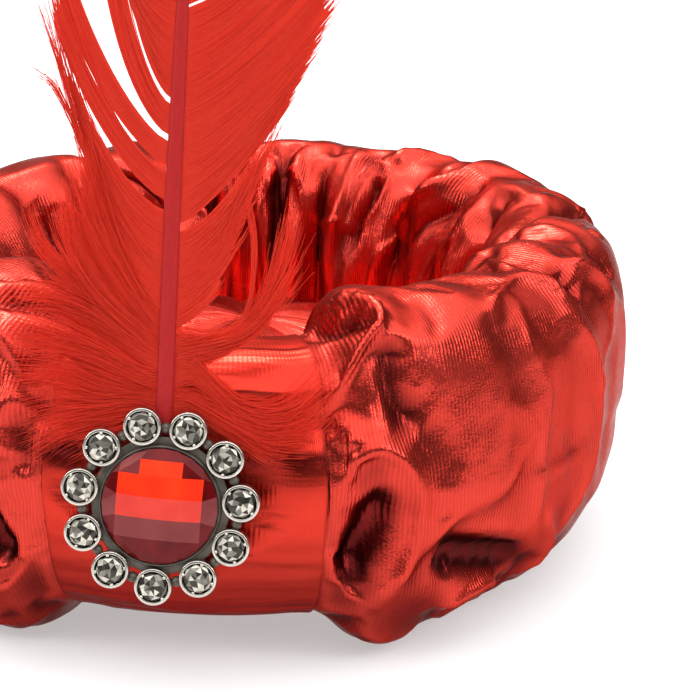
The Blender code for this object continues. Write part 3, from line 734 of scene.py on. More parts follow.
def feather_look(name, light, dark, through):
    """Dyed feather: each barb a little lighter or darker, and light comes through it."""
    look = Look(name)
    shade = look.add("ShaderNodeAttribute", {"attribute_name": "shade"}).outputs["Fac"]
    fine = look.noise(look.place(), 700, 2.0)
    blend = look.maths("MULTIPLY", look.maths("ADD", shade, fine), 0.5)
    colour = look.mix(blend, dark, light)
    look.feed("Base Color", colour)
    look.set(Roughness=0.6, Specular_IOR_Level=0.15)
    glow = look.add("ShaderNodeBsdfTranslucent", None, Color=colour)
    share = look.add("ShaderNodeMixShader", None, i0=through)
    look.links.new(look.shader.outputs[0], share.inputs[1])
    look.links.new(glow.outputs[0], share.inputs[2])
    look.links.new(share.outputs[0], look.nodes["Material Output"].inputs["Surface"])
    return look.material


def quill_look():
    look = Look("quill_horn")
    grain = look.noise(look.stretched(look.place(), (1.0, 1.0, 0.05)), 1800, 3.0)
    look.feed("Base Color", look.mix(grain, (0.26, 0.006, 0.008, 1), (0.40, 0.013, 0.012, 1)))
    look.set(Roughness=0.5, Specular_IOR_Level=0.2)
    look.feed("Normal", look.bump(grain, 0.0001, 0.5))
    return look.material


def metal_look():
    """Silver-coloured plating, darker where it is dirty and lighter where it is rubbed."""
    look = Look("plated_metal")
    place = look.place()
    cloud = look.noise(place, 260, 4.0)
    scratch = look.noise(place, 2200, 2.0)
    look.feed("Base Color", look.mix(cloud, (0.34, 0.31, 0.27, 1), (0.70, 0.66, 0.59, 1)))
    look.set(Metallic=1.0)
    look.feed("Roughness", look.remap(cloud, 0.34, 0.16))
    look.feed("Normal", look.bump(scratch, 0.00004, 0.5))
    return look.material


def recess_shade_look():
    """Metal painted near black as painted shade in the recesses round the stones and between the cups."""
    look = Look("painted_recess_shade")
    cloud = look.noise(look.place(), 400, 3.0)
    look.feed("Base Color", look.mix(cloud, (0.035, 0.025, 0.020, 1), (0.16, 0.14, 0.115, 1)))
    look.set(Metallic=0.6)
    look.feed("Roughness", look.remap(cloud, 0.35, 0.55))
    return look.material


def stone_look(name, first, second, metal=0.5, haze=600):
    """Polished glass over foil, under a clear glossy face: the colour given is the foil's, with each facet's
    painted light, reflection or shade in it.
    """
    look = Look(name)
    cloud = look.noise(look.place(), haze, 2.0)
    look.feed("Base Color", look.mix(look.remap(cloud, -0.5, 1.5), first, second))
    look.set(Metallic=metal, Coat_Weight=0.22, Coat_Roughness=0.03, Coat_IOR=1.45, Specular_IOR_Level=0.1)
    look.feed("Roughness", look.remap(cloud, 0.12, 0.28))
    return look.material


def clear_stone_looks():
    # Light, middle and dark copies of the clear glass, for the facets' painted reflections
    return [
        stone_look("clear_glass_painted_light", (0.70, 0.66, 0.58, 1), (0.40, 0.37, 0.31, 1)),
        stone_look("clear_glass_painted_middle", (0.24, 0.225, 0.19, 1), (0.13, 0.12, 0.10, 1)),
        stone_look("clear_glass_painted_dark", (0.06, 0.054, 0.045, 1), (0.022, 0.02, 0.016, 1)),
    ]


def red_stone_looks():
    # Bright, middle, muted and dark copies of the red glass, for the facets' painted light and shade
    return [
        stone_look("red_glass_painted_bright", (1.0, 0.045, 0.010, 1), (0.86, 0.024, 0.008, 1), 0.2, 120),
        stone_look("red_glass_painted_middle", (0.66, 0.050, 0.034, 1), (0.56, 0.034, 0.024, 1), 0.2, 120),
        stone_look("red_glass_painted_muted", (0.20, 0.036, 0.036, 1), (0.15, 0.020, 0.020, 1), 0.2, 120),
        stone_look("red_glass_painted_dark", (0.15, 0.003, 0.004, 1), (0.06, 0.001, 0.002, 1), 0.2, 120),
    ]


def floor_look():
    look = Look("pale_floor")
    cloud = look.noise(look.place(), 3, 2.0)
    look.feed("Base Color", look.mix(cloud, (0.50, 0.50, 0.50, 1), (0.52, 0.52, 0.52, 1)))
    look.set(Roughness=0.7, Emission_Color=(1, 1, 1, 1), Emission_Strength=0.44)
    return look.material


# Mesh building


def new_object(name, mesh, looks):
    made = bpy.data.objects.new(name, mesh)
    for look in looks if isinstance(looks, (list, tuple)) else [looks]:
        mesh.materials.append(look)
    bpy.context.scene.collection.objects.link(made)
    return made


def store(mesh, name, values):
    """Keeps a number for each point of a mesh, for its material."""
    values = np.asarray(values, np.float32).ravel()
    mesh.attributes.new(name, "FLOAT", "POINT").data.foreach_set("value", values)


def placed(piece, node):
    """The piece rides on the hat's one body and stands in for a node of the solids, which it hides."""
    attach(piece, "root")
    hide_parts(node)
    return piece


def grid_faces(count, width, wrap_rows, wrap_columns):
    i = np.arange(count if wrap_rows else count - 1)[:, None]
    j = np.arange(width if wrap_columns else width - 1)[None, :]
    after, beside = (i + 1) % count, (j + 1) % width
    corners = [i * width + j, after * width + j, after * width + beside, i * width + beside]
    return np.stack([c + 0 * (i + j) for c in corners], -1).reshape(-1, 4)


def quad_mesh(name, points, faces, cloth=None, smooth=True):
    """A mesh of quads. Cloth gives each face corner's place on the flat cloth, in metres."""
    points, faces = np.asarray(points, np.float32).reshape(-1, 3), np.asarray(faces, np.int32)
    mesh = bpy.data.meshes.new(name)
    mesh.vertices.add(len(points))
    mesh.vertices.foreach_set("co", points.ravel())
    mesh.loops.add(faces.size)
    mesh.loops.foreach_set("vertex_index", faces.ravel())
    mesh.polygons.add(len(faces))
    mesh.polygons.foreach_set("loop_start", np.arange(0, faces.size, 4, dtype=np.int32))
    mesh.polygons.foreach_set("loop_total", np.full(len(faces), 4, np.int32))
    mesh.update(calc_edges=True)
    mesh.validate()
    if cloth is not None:
        layer = mesh.uv_layers.new(name="cloth")
        layer.uv.foreach_set("vector", np.asarray(cloth, np.float32).ravel())
    if smooth:
        mesh.shade_smooth()
    return mesh


def grid_cloth(count, width, wrap_rows, wrap_columns, row_step, column_step):
    """The flat cloth's coordinates at each face corner of a grid."""
    i = np.arange(count if wrap_rows else count - 1)[:, None]
    j = np.arange(width if wrap_columns else width - 1)[None, :]
    i, j = np.broadcast_arrays(i, j)
    u = np.stack([i, i + 1, i + 1, i], -1) * row_step
    v = np.stack([j, j, j + 1, j + 1], -1) * column_step
    return np.stack([u, v], -1).reshape(-1, 2)


def cloth_at(rows, whole_rows, columns, whole_columns):
    """The flat cloth's coordinates at each face corner of a grid that wraps both ways."""
    after = np.append(rows[1:], rows[0] + whole_rows)
    beside = np.append(columns[1:], columns[0] + whole_columns)
    low_u, low_v = np.meshgrid(rows, columns, indexing="ij")
    high_u, high_v = np.meshgrid(after, beside, indexing="ij")
    u = np.stack([low_u, high_u, high_u, low_u], -1)
    v = np.stack([low_v, low_v, high_v, high_v], -1)
    return np.stack([u, v], -1).reshape(-1, 2)


def finer(points):
    """A grid that wraps both ways, with a point added between each two along both."""
    for axis in (0, 1):
        before, after = np.roll(points, 1, axis), np.roll(points, -1, axis)
        beyond = np.roll(points, -2, axis)
        middle = (9 * (points + after) - before - beyond) / 16
        points = np.stack([points, middle], axis + 1)
        shape = list(points.shape)
        shape[axis : axis + 2] = [shape[axis] * shape[axis + 1]]
        points = points.reshape(shape)
    return points


def normals_of(points):
    """Outward normals of the roll's grid."""
    along = np.roll(points, -1, 0) - np.roll(points, 1, 0)
    around = np.roll(points, -1, 1) - np.roll(points, 1, 1)
    normal = np.cross(along, around)
    normal /= np.linalg.norm(normal, axis=-1, keepdims=True) + 1e-12
    return normal


def swollen(points, ring, roll):
    """The roll's cloth, a little too large for its padding, drawn over it by a cloth simulation."""
    count, width = points.shape[:2]
    mesh = quad_mesh("roll_cloth", points, grid_faces(count, width, True, True))
    cloth = bpy.data.objects.new("roll_cloth", mesh)
    bpy.context.scene.collection.objects.link(cloth)
    hold = np.full((count, width), SIM_HOLD)
    hold[np.abs(ring_degrees(ring)) < math.degrees(half_angle_of_band()) + 1] = 1
    hold[:, np.abs(np.degrees(roll) - 270) < SIM_FOOT] = 1
    hold[:, np.abs(roll - CROWN_SEAM) < math.radians(3)] = 1
    group = cloth.vertex_groups.new(name="held")
    for weight in np.unique(hold):
        group.add([int(k) for k in np.nonzero((hold == weight).ravel())[0]], float(weight), "REPLACE")
    step = cloth.modifiers.new("Cloth", "CLOTH")
    step.settings.quality = 5
    step.settings.mass = 0.15
    step.settings.tension_stiffness = 15
    step.settings.compression_stiffness = 15
    step.settings.shear_stiffness = 5
    step.settings.bending_stiffness = SIM_BEND
    step.settings.shrink_min = step.settings.shrink_max = -SIM_SPARE
    step.settings.use_pressure = True
    step.settings.uniform_pressure_force = SIM_PRESSURE
    step.settings.vertex_group_mass = "held"
    step.settings.effector_weights.gravity = 0
    step.collision_settings.use_collision = False
    step.point_cache.frame_start, step.point_cache.frame_end = 1, SIM_FRAMES
    scene = bpy.context.scene
    for number in range(1, SIM_FRAMES + 1):
        scene.frame_set(number)
    evaluated = cloth.evaluated_get(bpy.context.evaluated_depsgraph_get())
    moved = np.empty(count * width * 3, np.float32)
    evaluated.to_mesh().vertices.foreach_get("co", moved)
    evaluated.to_mesh_clear()
    scene.frame_set(1)
    bpy.data.objects.remove(cloth)
    bpy.data.meshes.remove(mesh)
    move = moved.reshape(points.shape).astype(float) - points
    far = np.linalg.norm(move, axis=-1, keepdims=True)
    move *= np.minimum(1, SIM_CAP / np.maximum(far, 1e-9))
    normal = normals_of(points)
    swell = (move * normal).sum(-1)
    for axis, reach in ((0, 12), (1, 7), (0, 12), (1, 7)):
        swell = sum(np.roll(swell, k, axis) for k in range(-reach, reach + 1)) / (2 * reach + 1)
    return points + move - normal * swell[..., None]


def spread(count, density):
    """Angles once round a circle, closer together where the density table says so."""
    fine = np.arange(0, 360, 0.25)
    weight = np.interp(fine, [row[0] for row in density], [row[1] for row in density], period=360)
    total = np.concatenate([[0], np.cumsum(weight)])
    return np.radians(np.interp(np.arange(count) / count * total[-1], total, np.append(fine, 360)))


def between(angles):
    """The angles, with one more halfway to each next one."""
    after = np.roll(angles, -1)
    after[-1] += math.tau
    return np.stack([angles, (angles + after) / 2], 1).ravel()


def shade_underneath(roll):
    """How much painted shade lies on the cloth as it turns under."""
    return 0.62 * (1 - fade((-np.sin(roll) - 0.02) / 0.6))


def painted_fold_shade(points, plain, roll):
    """The painted shade at each point: how deep it lies in a fold, 1 in a deep one and below 0 on a ridge,
    plus more than 0 on the underside.
    """
    height = ((points - plain) * normals_of(plain)).sum(-1)
    mean = height
    for axis, reach in ((0, 7), (1, 5), (0, 7), (1, 5)):
        mean = sum(np.roll(mean, k, axis) for k in range(-reach, reach + 1)) / (2 * reach + 1)
    return np.clip((mean - height) / FOLD_SHADE_DEPTH, -1, 1) + shade_underneath(roll)[None, :]


def padded_roll(look):
    """The gathered roll of foil cloth."""
    ring = spread(ROLL_RINGS, RING_DENSITY)
    roll = spread(ROLL_ROUNDS, ROLL_DENSITY)
    start = SIM_START
    proud = start * clear_of_band(ring[:, None])
    points = roll_points(ring[:, None], roll[None, :], proud, creases=WRINKLE_SHARE)
    points = swollen(points, ring, roll)
    points = finer(points)
    ring, roll = between(ring), between(roll)
    sharp = fold_heights(ring[:, None], roll[None, :], SHARP_FOLDS + mirrored(SHARP_FOLDS), CREASED_SHAPE)
    sharp = sharp * clear_of_band(ring[:, None]) + seam_gathers(ring[:, None], roll[None, :])
    points = points + normals_of(points) * sharp[..., None]
    points[..., 2] = np.maximum(points[..., 2], 0)
    plain = roll_points(ring[:, None], roll[None, :])
    count, width = points.shape[:2]
    uv = cloth_at(ring * CLOTH_RADIUS, math.tau * CLOTH_RADIUS, roll * CLOTH_ROUND / math.tau, CLOTH_ROUND)
    mesh = quad_mesh("roll_of_foil_cloth", points, grid_faces(count, width, True, True), uv)
    # The painted shade of the folds and the underside, kept for the foil's colour
    store(mesh, "hollow", painted_fold_shade(points, plain, roll))
    piece = placed(new_object("roll_of_foil_cloth", mesh, look), "padded_roll")


def front_band(look):
    """A loop of cloth right round the roll at the front, with a folded edge on each side."""
    share = np.sin(np.linspace(-1, 1, BAND_COLUMNS) * math.pi / 2)
    ring = share * half_angle_of_band()
    roll = np.arange(BAND_ROUNDS) * math.tau / BAND_ROUNDS
    u, v = ring[:, None] / math.tau + 0.5, roll[None, :] / math.tau
    warp = v + 0.012 * lattice_noise(u * 6, v, (8, 5), 41)
    crest = 1 - 2 * np.abs(lattice_noise(u * 3 + 0.02 * v, warp, (3, 46), 42))
    fine = 1 - 2 * np.abs(lattice_noise(u * 5, warp, (5, 90), 43))
    ripple = BAND_RIPPLE * crest + BAND_FINE_RIPPLE * fine
    edge = np.sqrt(np.maximum(0, 1 - share**8))[:, None]
    top = roll_points(ring[:, None], roll[None, :], SEAM_GAP + BAND_WALL)
    low = roll_points(ring[:, None], roll[None, :], SEAM_GAP)
    out = (top - low) / BAND_WALL
    face = low + out * (BAND_WALL * 1.2 * edge + ripple * edge + 0.0001)[..., None]
    points = np.concatenate([face, low[::-1]])
    count, width = points.shape[:2]
    uv = grid_cloth(count, width, True, True, BAND_WIDTH / BAND_COLUMNS, BAND_ROUND / BAND_ROUNDS)
    mesh = quad_mesh("band_of_foil_cloth", points, grid_faces(count, width, True, True), uv)
    # A painted dark reflection streaked across the band, stored with the painted shade on its underside
    streak = DARK_REFLECTION_DEPTH * np.exp(-(((ring_degrees(roll) - DARK_REFLECTION_MIDDLE) / DARK_REFLECTION_REACH) ** 2))
    streak = streak * (0.75 + 0.5 * lattice_noise(u * 4, v, (6, 70), 44))
    store(mesh, "hollow", np.tile(shade_underneath(roll) + streak, (2, 1)))
    piece = placed(new_object("band_of_foil_cloth", mesh, look), "front_band")



def crown(look):
    """The cap inside the ring: a thin sheet, gathered into pleats that run to its middle."""
    ring = np.arange(CROWN_COLUMNS) * math.tau / CROWN_COLUMNS
    seam = roll_points(ring, np.full(CROWN_COLUMNS, CROWN_SEAM))
    centre = np.array([0, ring_shift(), seam[:, 2].mean()])
    inward = centre - seam
    inward[:, 2] = 0
    inward /= np.linalg.norm(inward, axis=1, keepdims=True)
    beside_band = fade((np.abs(ring_degrees(ring)) / math.degrees(half_angle_of_band()) - 1.1) / 0.3)
    rim = seam + inward * (SEAM_GAP + (BAND_WALL + SEAM_GAP) * beside_band)[:, None]
    share = np.linspace(CROWN_TUCK, 0.0005, CROWN_ROWS)[:, None]
    shown = np.minimum(share, 1)
    u = ring[None, :] / math.tau
    swirl = u + 0.02 * (1 - share) + 0.006 * lattice_noise(u, share * 0.5, (16, 4), 61)
    pleat = np.sin(math.tau * CROWN_PLEATS * swirl) * PLEAT_HEIGHT
    pleat = pleat + CREST_HEIGHT * (1 - 2 * np.abs(lattice_noise(swirl, share * 0.4, (64, 3), 62)))
    sheet = centre + (rim - centre)[None] * share[..., None]
    sheet[..., 2] = rim[None, :, 2] * share + centre[2] * (1 - share)
    sheet[..., 2] += CROWN_RISE * (1 - shown**2.2) + pleat * 4 * shown * (1 - shown) + CROWN_WALL / 2
    under = sheet[::-1].copy()
    under[..., 2] -= CROWN_WALL
    points = np.concatenate([sheet, under])
    total, width = points.shape[:2]
    uv = grid_cloth(total, width, True, True, 0.0012, 0.45 / CROWN_COLUMNS)[:, ::-1]
    mesh = quad_mesh("gathered_crown", points, grid_faces(total, width, True, True), uv)
    piece = placed(new_object("gathered_crown", mesh, look), "crown")


# The feather. Each lock of barbs leaves the quill between two heights, and its tips reach to a place on
# the outline. Heights and reaches are in metres along and across the quill, from the brooch's centre
LOCKS = (
    # side, low, high, tip height at low, tip height at high, reach at low, reach at high, curl, lift, gather
    (1, 0.052, 0.0800, 0.064, 0.1190, 0.0150, 0.0342, 0.26, 0.0014, 0.00),
    (1, 0.0822, 0.106, 0.1195, 0.1470, 0.0345, 0.0460, 0.06, -0.0012, 0.00),
    (1, 0.106, 0.144, 0.1475, 0.1815, 0.0460, 0.0435, 0.08, 0.0004, 0.00),
    (1, 0.145, 0.177, 0.1840, 0.2030, 0.0420, 0.0310, 0.14, -0.0010, 0.05),
    (1, 0.178, 0.206, 0.2040, 0.2125, 0.0290, 0.0050, 0.18, 0.0006, 0.05),
    (-1, 0.030, 0.052, 0.050, 0.078, 0.0400, 0.0360, 0.20, -0.0022, 0.10),
    (-1, 0.050, 0.070, 0.078, 0.112, 0.0350, 0.0285, 0.30, 0.0010, 0.05),
    (-1, 0.068, 0.086, 0.110, 0.144, 0.0280, 0.0360, 0.36, -0.0012, 0.00),
    (-1, 0.089, 0.097, 0.146, 0.158, 0.0375, 0.0375, 0.26, 0.0012, 0.00),
    (-1, 0.099, 0.106, 0.156, 0.166, 0.0375, 0.0350, 0.26, -0.0006, 0.00),
    (-1, 0.108, 0.1165, 0.168, 0.178, 0.0240, 0.0195, 0.50, -0.0008, 0.05),
    (-1, 0.1185, 0.150, 0.172, 0.196, 0.0175, 0.0330, 0.45, 0.0008, 0.00),
    (-1, 0.151, 0.180, 0.196, 0.2075, 0.0320, 0.0180, 0.25, -0.0008, 0.05),
    (-1, 0.181, 0.206, 0.2075, 0.2125, 0.0160, 0.0040, 0.20, 0.0004, 0.05),
)


def seat_matrix():
    """The brooch's seat: Z straight out of the brooch, X across and Y up along the quill."""
    point, normal = press_frame()
    outward = Vector(normal)
    place = Vector(point) + outward * (SEAM_GAP + BAND_WALL + SEAM_GAP)
    across = Vector((1, 0, 0))
    turn = Matrix((across, outward.cross(across), outward)).transposed()
    return Matrix.Translation(place) @ turn.to_4x4()


def quill_x(height):
    return PLUME_SWAY * (np.maximum(height, 0) / PLUME_LENGTH) ** 1.5


def ribbons(name, lines, widths, facing, shades, look):
    """Thin flat strips along lines, in the seat's frame. Facing is the strips' normal."""
    lines = np.asarray(lines)
    count, steps = lines.shape[:2]
    along = np.gradient(lines, axis=1)
    along /= np.linalg.norm(along, axis=-1, keepdims=True) + 1e-12
    side = np.cross(along, facing)
    side /= np.linalg.norm(side, axis=-1, keepdims=True) + 1e-12
    half = side * widths[..., None] / 2
    points = np.stack([lines - half, lines + half], 2).reshape(-1, 3)
    strip = np.arange(count)[:, None] * steps * 2
    step = np.arange(steps - 1)[None, :] * 2
    base = (strip + step).reshape(-1, 1)
    faces = base + np.array([[0, 1, 3, 2]])
    mesh = quad_mesh(name, points, faces)
    mesh.transform(seat_matrix())
    store(mesh, "shade", np.repeat(shades, steps * 2))
    placed(new_object(name, mesh, look), "plume")


def quill_half(height):
    """Half the quill's width at a height."""
    share = np.clip(height / PLUME_LENGTH, 0, 1)
    return QUILL_WIDE / 2 * (1 - 0.8 * share**3)


def barb(side, base, tip, reach, curl, z, t):
    """One barb's line, from the quill to its tip."""
    start = quill_half(base) * 0.75
    x = start + (reach - start) * (1 - (1 - t) ** (1 + curl)) ** (0.80 + 0.35 * curl)
    y = base + (tip - base) * t ** (1 + 0.9 * curl)
    cup = -PLUME_CUP * (2 * x / 0.096) ** 2 * (0.3 + base / PLUME_LENGTH)
    return np.stack([quill_x(base) + side * x, y, cup + z + SEAM_GAP + QUILL_THICK / 2], -1)


def lift_of_lock(lift, share, t):
    return lift * np.sin(math.pi * share) * t**1.5


def vane(name, side, look, seed):
    """One side of the feather, in locks of barbs. The barbs of a lock hold together in a thin web."""
    draw = np.random.default_rng(seed)
    lines, widths, shades, facing = [], [], [], []
    web_points, web_shades, web_faces = [], [], []
    t = np.linspace(0, 1, BARB_STEPS)
    for lock_side, low, high, tip_low, tip_high, reach_low, reach_high, curl, lift, gather in LOCKS:
        if lock_side != side:
            continue
        count = int((high - low) / BARB_PITCH)
        middle_tip, middle_reach = (tip_low + tip_high) / 2, (reach_low + reach_high) / 2
        lock_shade = draw.uniform(-0.08, 0.08)
        soft = max(0.0, (0.075 - low) / 0.04)
        for k in range(count):
            share = (k + draw.uniform(0, 1)) / count
            tip = tip_low + (tip_high - tip_low) * share
            reach = reach_low + (reach_high - reach_low) * share
            tip += gather * (middle_tip - tip) + draw.normal(0, 0.0007) * (1 + 2 * soft)
            reach += gather * (middle_reach - reach) * 0.6 + draw.normal(0, 0.0005) * (1 + 2 * soft)
            reach *= 1 - (0.08 + 0.12 * soft) * draw.uniform(0, 1) ** 2
            wave = draw.normal(0, 0.00018) * np.sin(t * math.pi * draw.uniform(1, 2.5))
            z = lift_of_lock(lift, share, t) + draw.normal(0, 0.00010) * t + wave + 0.00012
            lines.append(barb(side, low + (high - low) * share, tip, reach, curl, z, t))
            widths.append(BARB_WIDTH * (1 - 0.75 * t**2.5) * draw.uniform(0.8, 1.1))
            shades.append(0.5 + lock_shade + draw.normal(0, 0.12))
            facing.append(np.tile([side * draw.normal(0.25, 0.15), 0.15, 1.0], (BARB_STEPS, 1)))
        columns = max(6, count // 2)
        first = sum(len(part) for part in web_points)
        for k in range(columns):
            share = k / (columns - 1)
            tip = tip_low + (tip_high - tip_low) * share
            reach = reach_low + (reach_high - reach_low) * share
            tip += gather * (middle_tip - tip)
            reach += gather * (middle_reach - reach) * 0.6
            short = t * (0.90 - 0.25 * soft + 0.04 * math.sin(k * 1.7) + 0.03 * math.sin(k * 0.53))
            z = lift_of_lock(lift, share, short) - 0.00012
            web_points.append(barb(side, low + (high - low) * share, tip, reach, curl, z, short))
            web_shades.append(np.full(BARB_STEPS, 0.5 + lock_shade + draw.normal(0, 0.08)))
        web_faces.append(grid_faces(columns, BARB_STEPS, False, False) + first)
    ribbons(name, lines, np.array(widths), np.array(facing), np.array(shades), look)
    mesh = quad_mesh(name + "_web", np.concatenate(web_points), np.concatenate(web_faces))
    mesh.transform(seat_matrix())
    store(mesh, "shade", np.concatenate(web_shades))
    placed(new_object(name + "_web", mesh, look), "plume")


# The down at the foot of the quill, in tufts: each flows along a path from the quill outwards, and its
# strands spread apart on the way
TUFTS = (
    # strands, spread, path in millimetres across and up from the brooch's centre
    (330, 3.4, ((1, 41), (7, 42), (14, 35), (24, 28), (37, 29), (50, 42))),
    (200, 3.0, ((1, 36), (9, 38), (18, 29), (30, 22), (42, 24), (52, 34))),
    (300, 3.2, ((1, 40), (6, 43), (18, 48), (28, 60), (32, 72), (35, 86))),
    (160, 3.0, ((1, 44), (12, 47), (24, 52), (33, 64), (38, 74))),
    (60, 1.2, ((22, 54), (24, 62), (24, 78), (21, 93))),
    (60, 1.6, ((2, 50), (12, 50), (22, 53), (27, 62))),
    (330, 4.4, ((1, 30), (8, 30), (20, 24), (32, 19), (42, 20))),
    (260, 5.0, ((1, 22), (8, 24), (18, 20), (27, 14))),
    (300, 4.0, ((-1, 46), (-8, 52), (-19, 62), (-29, 78), (-32, 92))),
    (330, 4.0, ((-1, 52), (-7, 59), (-14, 70), (-22, 86), (-27, 104))),
    (330, 4.4, ((-1, 42), (-8, 46), (-21, 55), (-35, 60), (-47, 61))),
    (330, 4.6, ((-1, 36), (-8, 38), (-21, 44), (-35, 48), (-48, 50))),
    (330, 4.6, ((-1, 30), (-8, 32), (-18, 33), (-32, 37), (-47, 36))),
    (300, 4.6, ((-1, 25), (-8, 27), (-19, 25), (-31, 22), (-41, 17))),
    (240, 4.6, ((-1, 20), (-7, 22), (-16, 18), (-25, 12))),
    (160, 2.4, ((-1, 48), (-12, 56), (-26, 64), (-38, 74), (-44, 88))),
    (40, 1.4, ((-29, 110), (-33, 122), (-37, 134), (-42, 147))),
    (40, 1.4, ((-27, 104), (-32, 114), (-37, 122), (-43, 126))),
)


def down(name, look, seed):
    """The soft down: long fine strands in flowing tufts."""
    draw = np.random.default_rng(seed)
    lines, widths, shades, facing = [], [], [], []
    for number, (strands, reach, path) in enumerate(TUFTS):
        run = smooth_run(path, 8) / 1000
        lift = 0.0022 * math.sin(number * 2.4)
        tuft_shade = draw.uniform(-0.08, 0.08)
        for k in range(strands):
            t = np.linspace(0, draw.uniform(0.62, 1.0), DOWN_STEPS)
            along = t * (len(run) - 1)
            x = np.interp(along, np.arange(len(run)), run[:, 0])
            y = np.interp(along, np.arange(len(run)), run[:, 1])
            apart = reach / 1000 * (0.35 + 0.65 * t) * t**0.6
            wander = 0.0006 * np.sin(t * draw.uniform(4, 10) + draw.uniform(0, 6)) * t
            x = x + draw.normal(0, 0.55) * apart + wander
            y = y + draw.normal(0, 1.0) * apart + draw.normal(0, 0.0016) * (1 - t) - wander
            z = (lift + draw.normal(0.0004, 0.0012)) * t - 0.03 * x**2 / 0.048
            lines.append(np.stack([quill_x(y) + x, y, z + SEAM_GAP + QUILL_THICK / 2], -1))
            widths.append(DOWN_WIDTH * (1 - 0.6 * np.linspace(0, 1, DOWN_STEPS)) * draw.uniform(0.6, 1.3))
            shades.append(0.5 + tuft_shade + draw.normal(0, 0.18))
            facing.append(np.tile([draw.normal(0, 0.4), draw.normal(0, 0.4), 1.0], (DOWN_STEPS, 1)))
    ribbons(name, lines, np.array(widths), np.array(facing), np.array(shades), look)


def quill(look):
    """The feather's shaft, thinning to its tip."""
    steps, sides = 90, 14
    height = np.linspace(0, 1, steps)
    foot = BOSS_RADIUS + SEAM_GAP
    along = foot + PLUME_LENGTH * 0.985 * height
    thick = QUILL_THICK * (1 - 0.75 * height) * 0.98
    angle = np.arange(sides) * math.tau / sides
    ridge = 1 - 0.14 * np.cos(angle - math.pi / 2) ** 12
    x = quill_x(along)[:, None] + quill_half(along)[:, None] * np.cos(angle) * ridge
    z = SEAM_GAP + QUILL_THICK / 2 + thick[:, None] / 2 * np.sin(angle) * ridge
    y = along[:, None] + 0 * x
    points = np.stack([x, y, z], -1)
    made = new_object("quill", quad_mesh("quill", points, grid_faces(steps, sides, False, True)), look)
    made.data.transform(seat_matrix())
    shape = bmesh.new()
    shape.from_mesh(made.data)
    bmesh.ops.holes_fill(shape, edges=[e for e in shape.edges if e.is_boundary])
    shape.to_mesh(made.data)
    shape.free()
    made.data.shade_smooth()
    placed(made, "plume")


# The brooch


def turned(shape, profile, sides, place, look_index=0):
    """Turns (radius, height) points round Z at a place and adds the faces to shape."""
    rows = []
    for radius, height in profile:
        row = []
        for k in range(sides):
            a = math.tau * k / sides
            x, y = place[0] + radius * math.cos(a), place[1] + radius * math.sin(a)
            row.append(shape.verts.new((x, y, place[2] + height)))
        rows.append(row)
    for low, high in zip(rows, rows[1:]):
        for k in range(sides):
            after = (k + 1) % sides
            face = shape.faces.new((low[k], low[after], high[after], high[k]))
            face.material_index = look_index
            face.smooth = True


def finish_piece(name, shape, looks, node):
    """Makes the shape, drawn in the brooch's own place, an object in the hat."""
    mesh = bpy.data.meshes.new(name)
    shape.to_mesh(mesh)
    shape.free()
    mesh.transform(seat_matrix())
    placed(new_object(name, mesh, looks), node)


def ring_place(number, radius, height, half=0.5):
    """A cup's place in the ring and its angle, or the place between two cups where half is 1."""
    angle = BROOCH_TURN + math.pi / 2 + (number + half) * math.tau / RIM_STONES
    return Vector((radius * math.cos(angle), radius * math.sin(angle), height)), angle


def rounded(points, size, steps=3):
    """A profile with its corners rounded."""
    made = [points[0]]
    for before, corner, after in zip(points, points[1:], points[2:]):
        before, corner, after = Vector(before), Vector(corner), Vector(after)
        back, ahead = before - corner, after - corner
        cut = min(size, back.length * 0.45, ahead.length * 0.45)
        first, last = corner + back.normalized() * cut, corner + ahead.normalized() * cut
        for k in range(steps + 1):
            s = k / steps
            made.append(tuple(first * (1 - s) ** 2 + corner * 2 * s * (1 - s) + last * s**2))
    made.append(points[-1])
    return made


def cup_levels():
    """The heights of the cups' bottom and of their rims."""
    low = boss_height() - PLATE_WALL / 2
    return low, low + PLATE_WALL + CUP_HEIGHT


def ball(radius, low, height, steps, lift=0.0):
    """A ball's profile, from its lowest point up."""
    angles = np.linspace(low, math.pi - low, steps)
    return [(radius * math.sin(a), -height * math.cos(a) + lift) for a in angles]


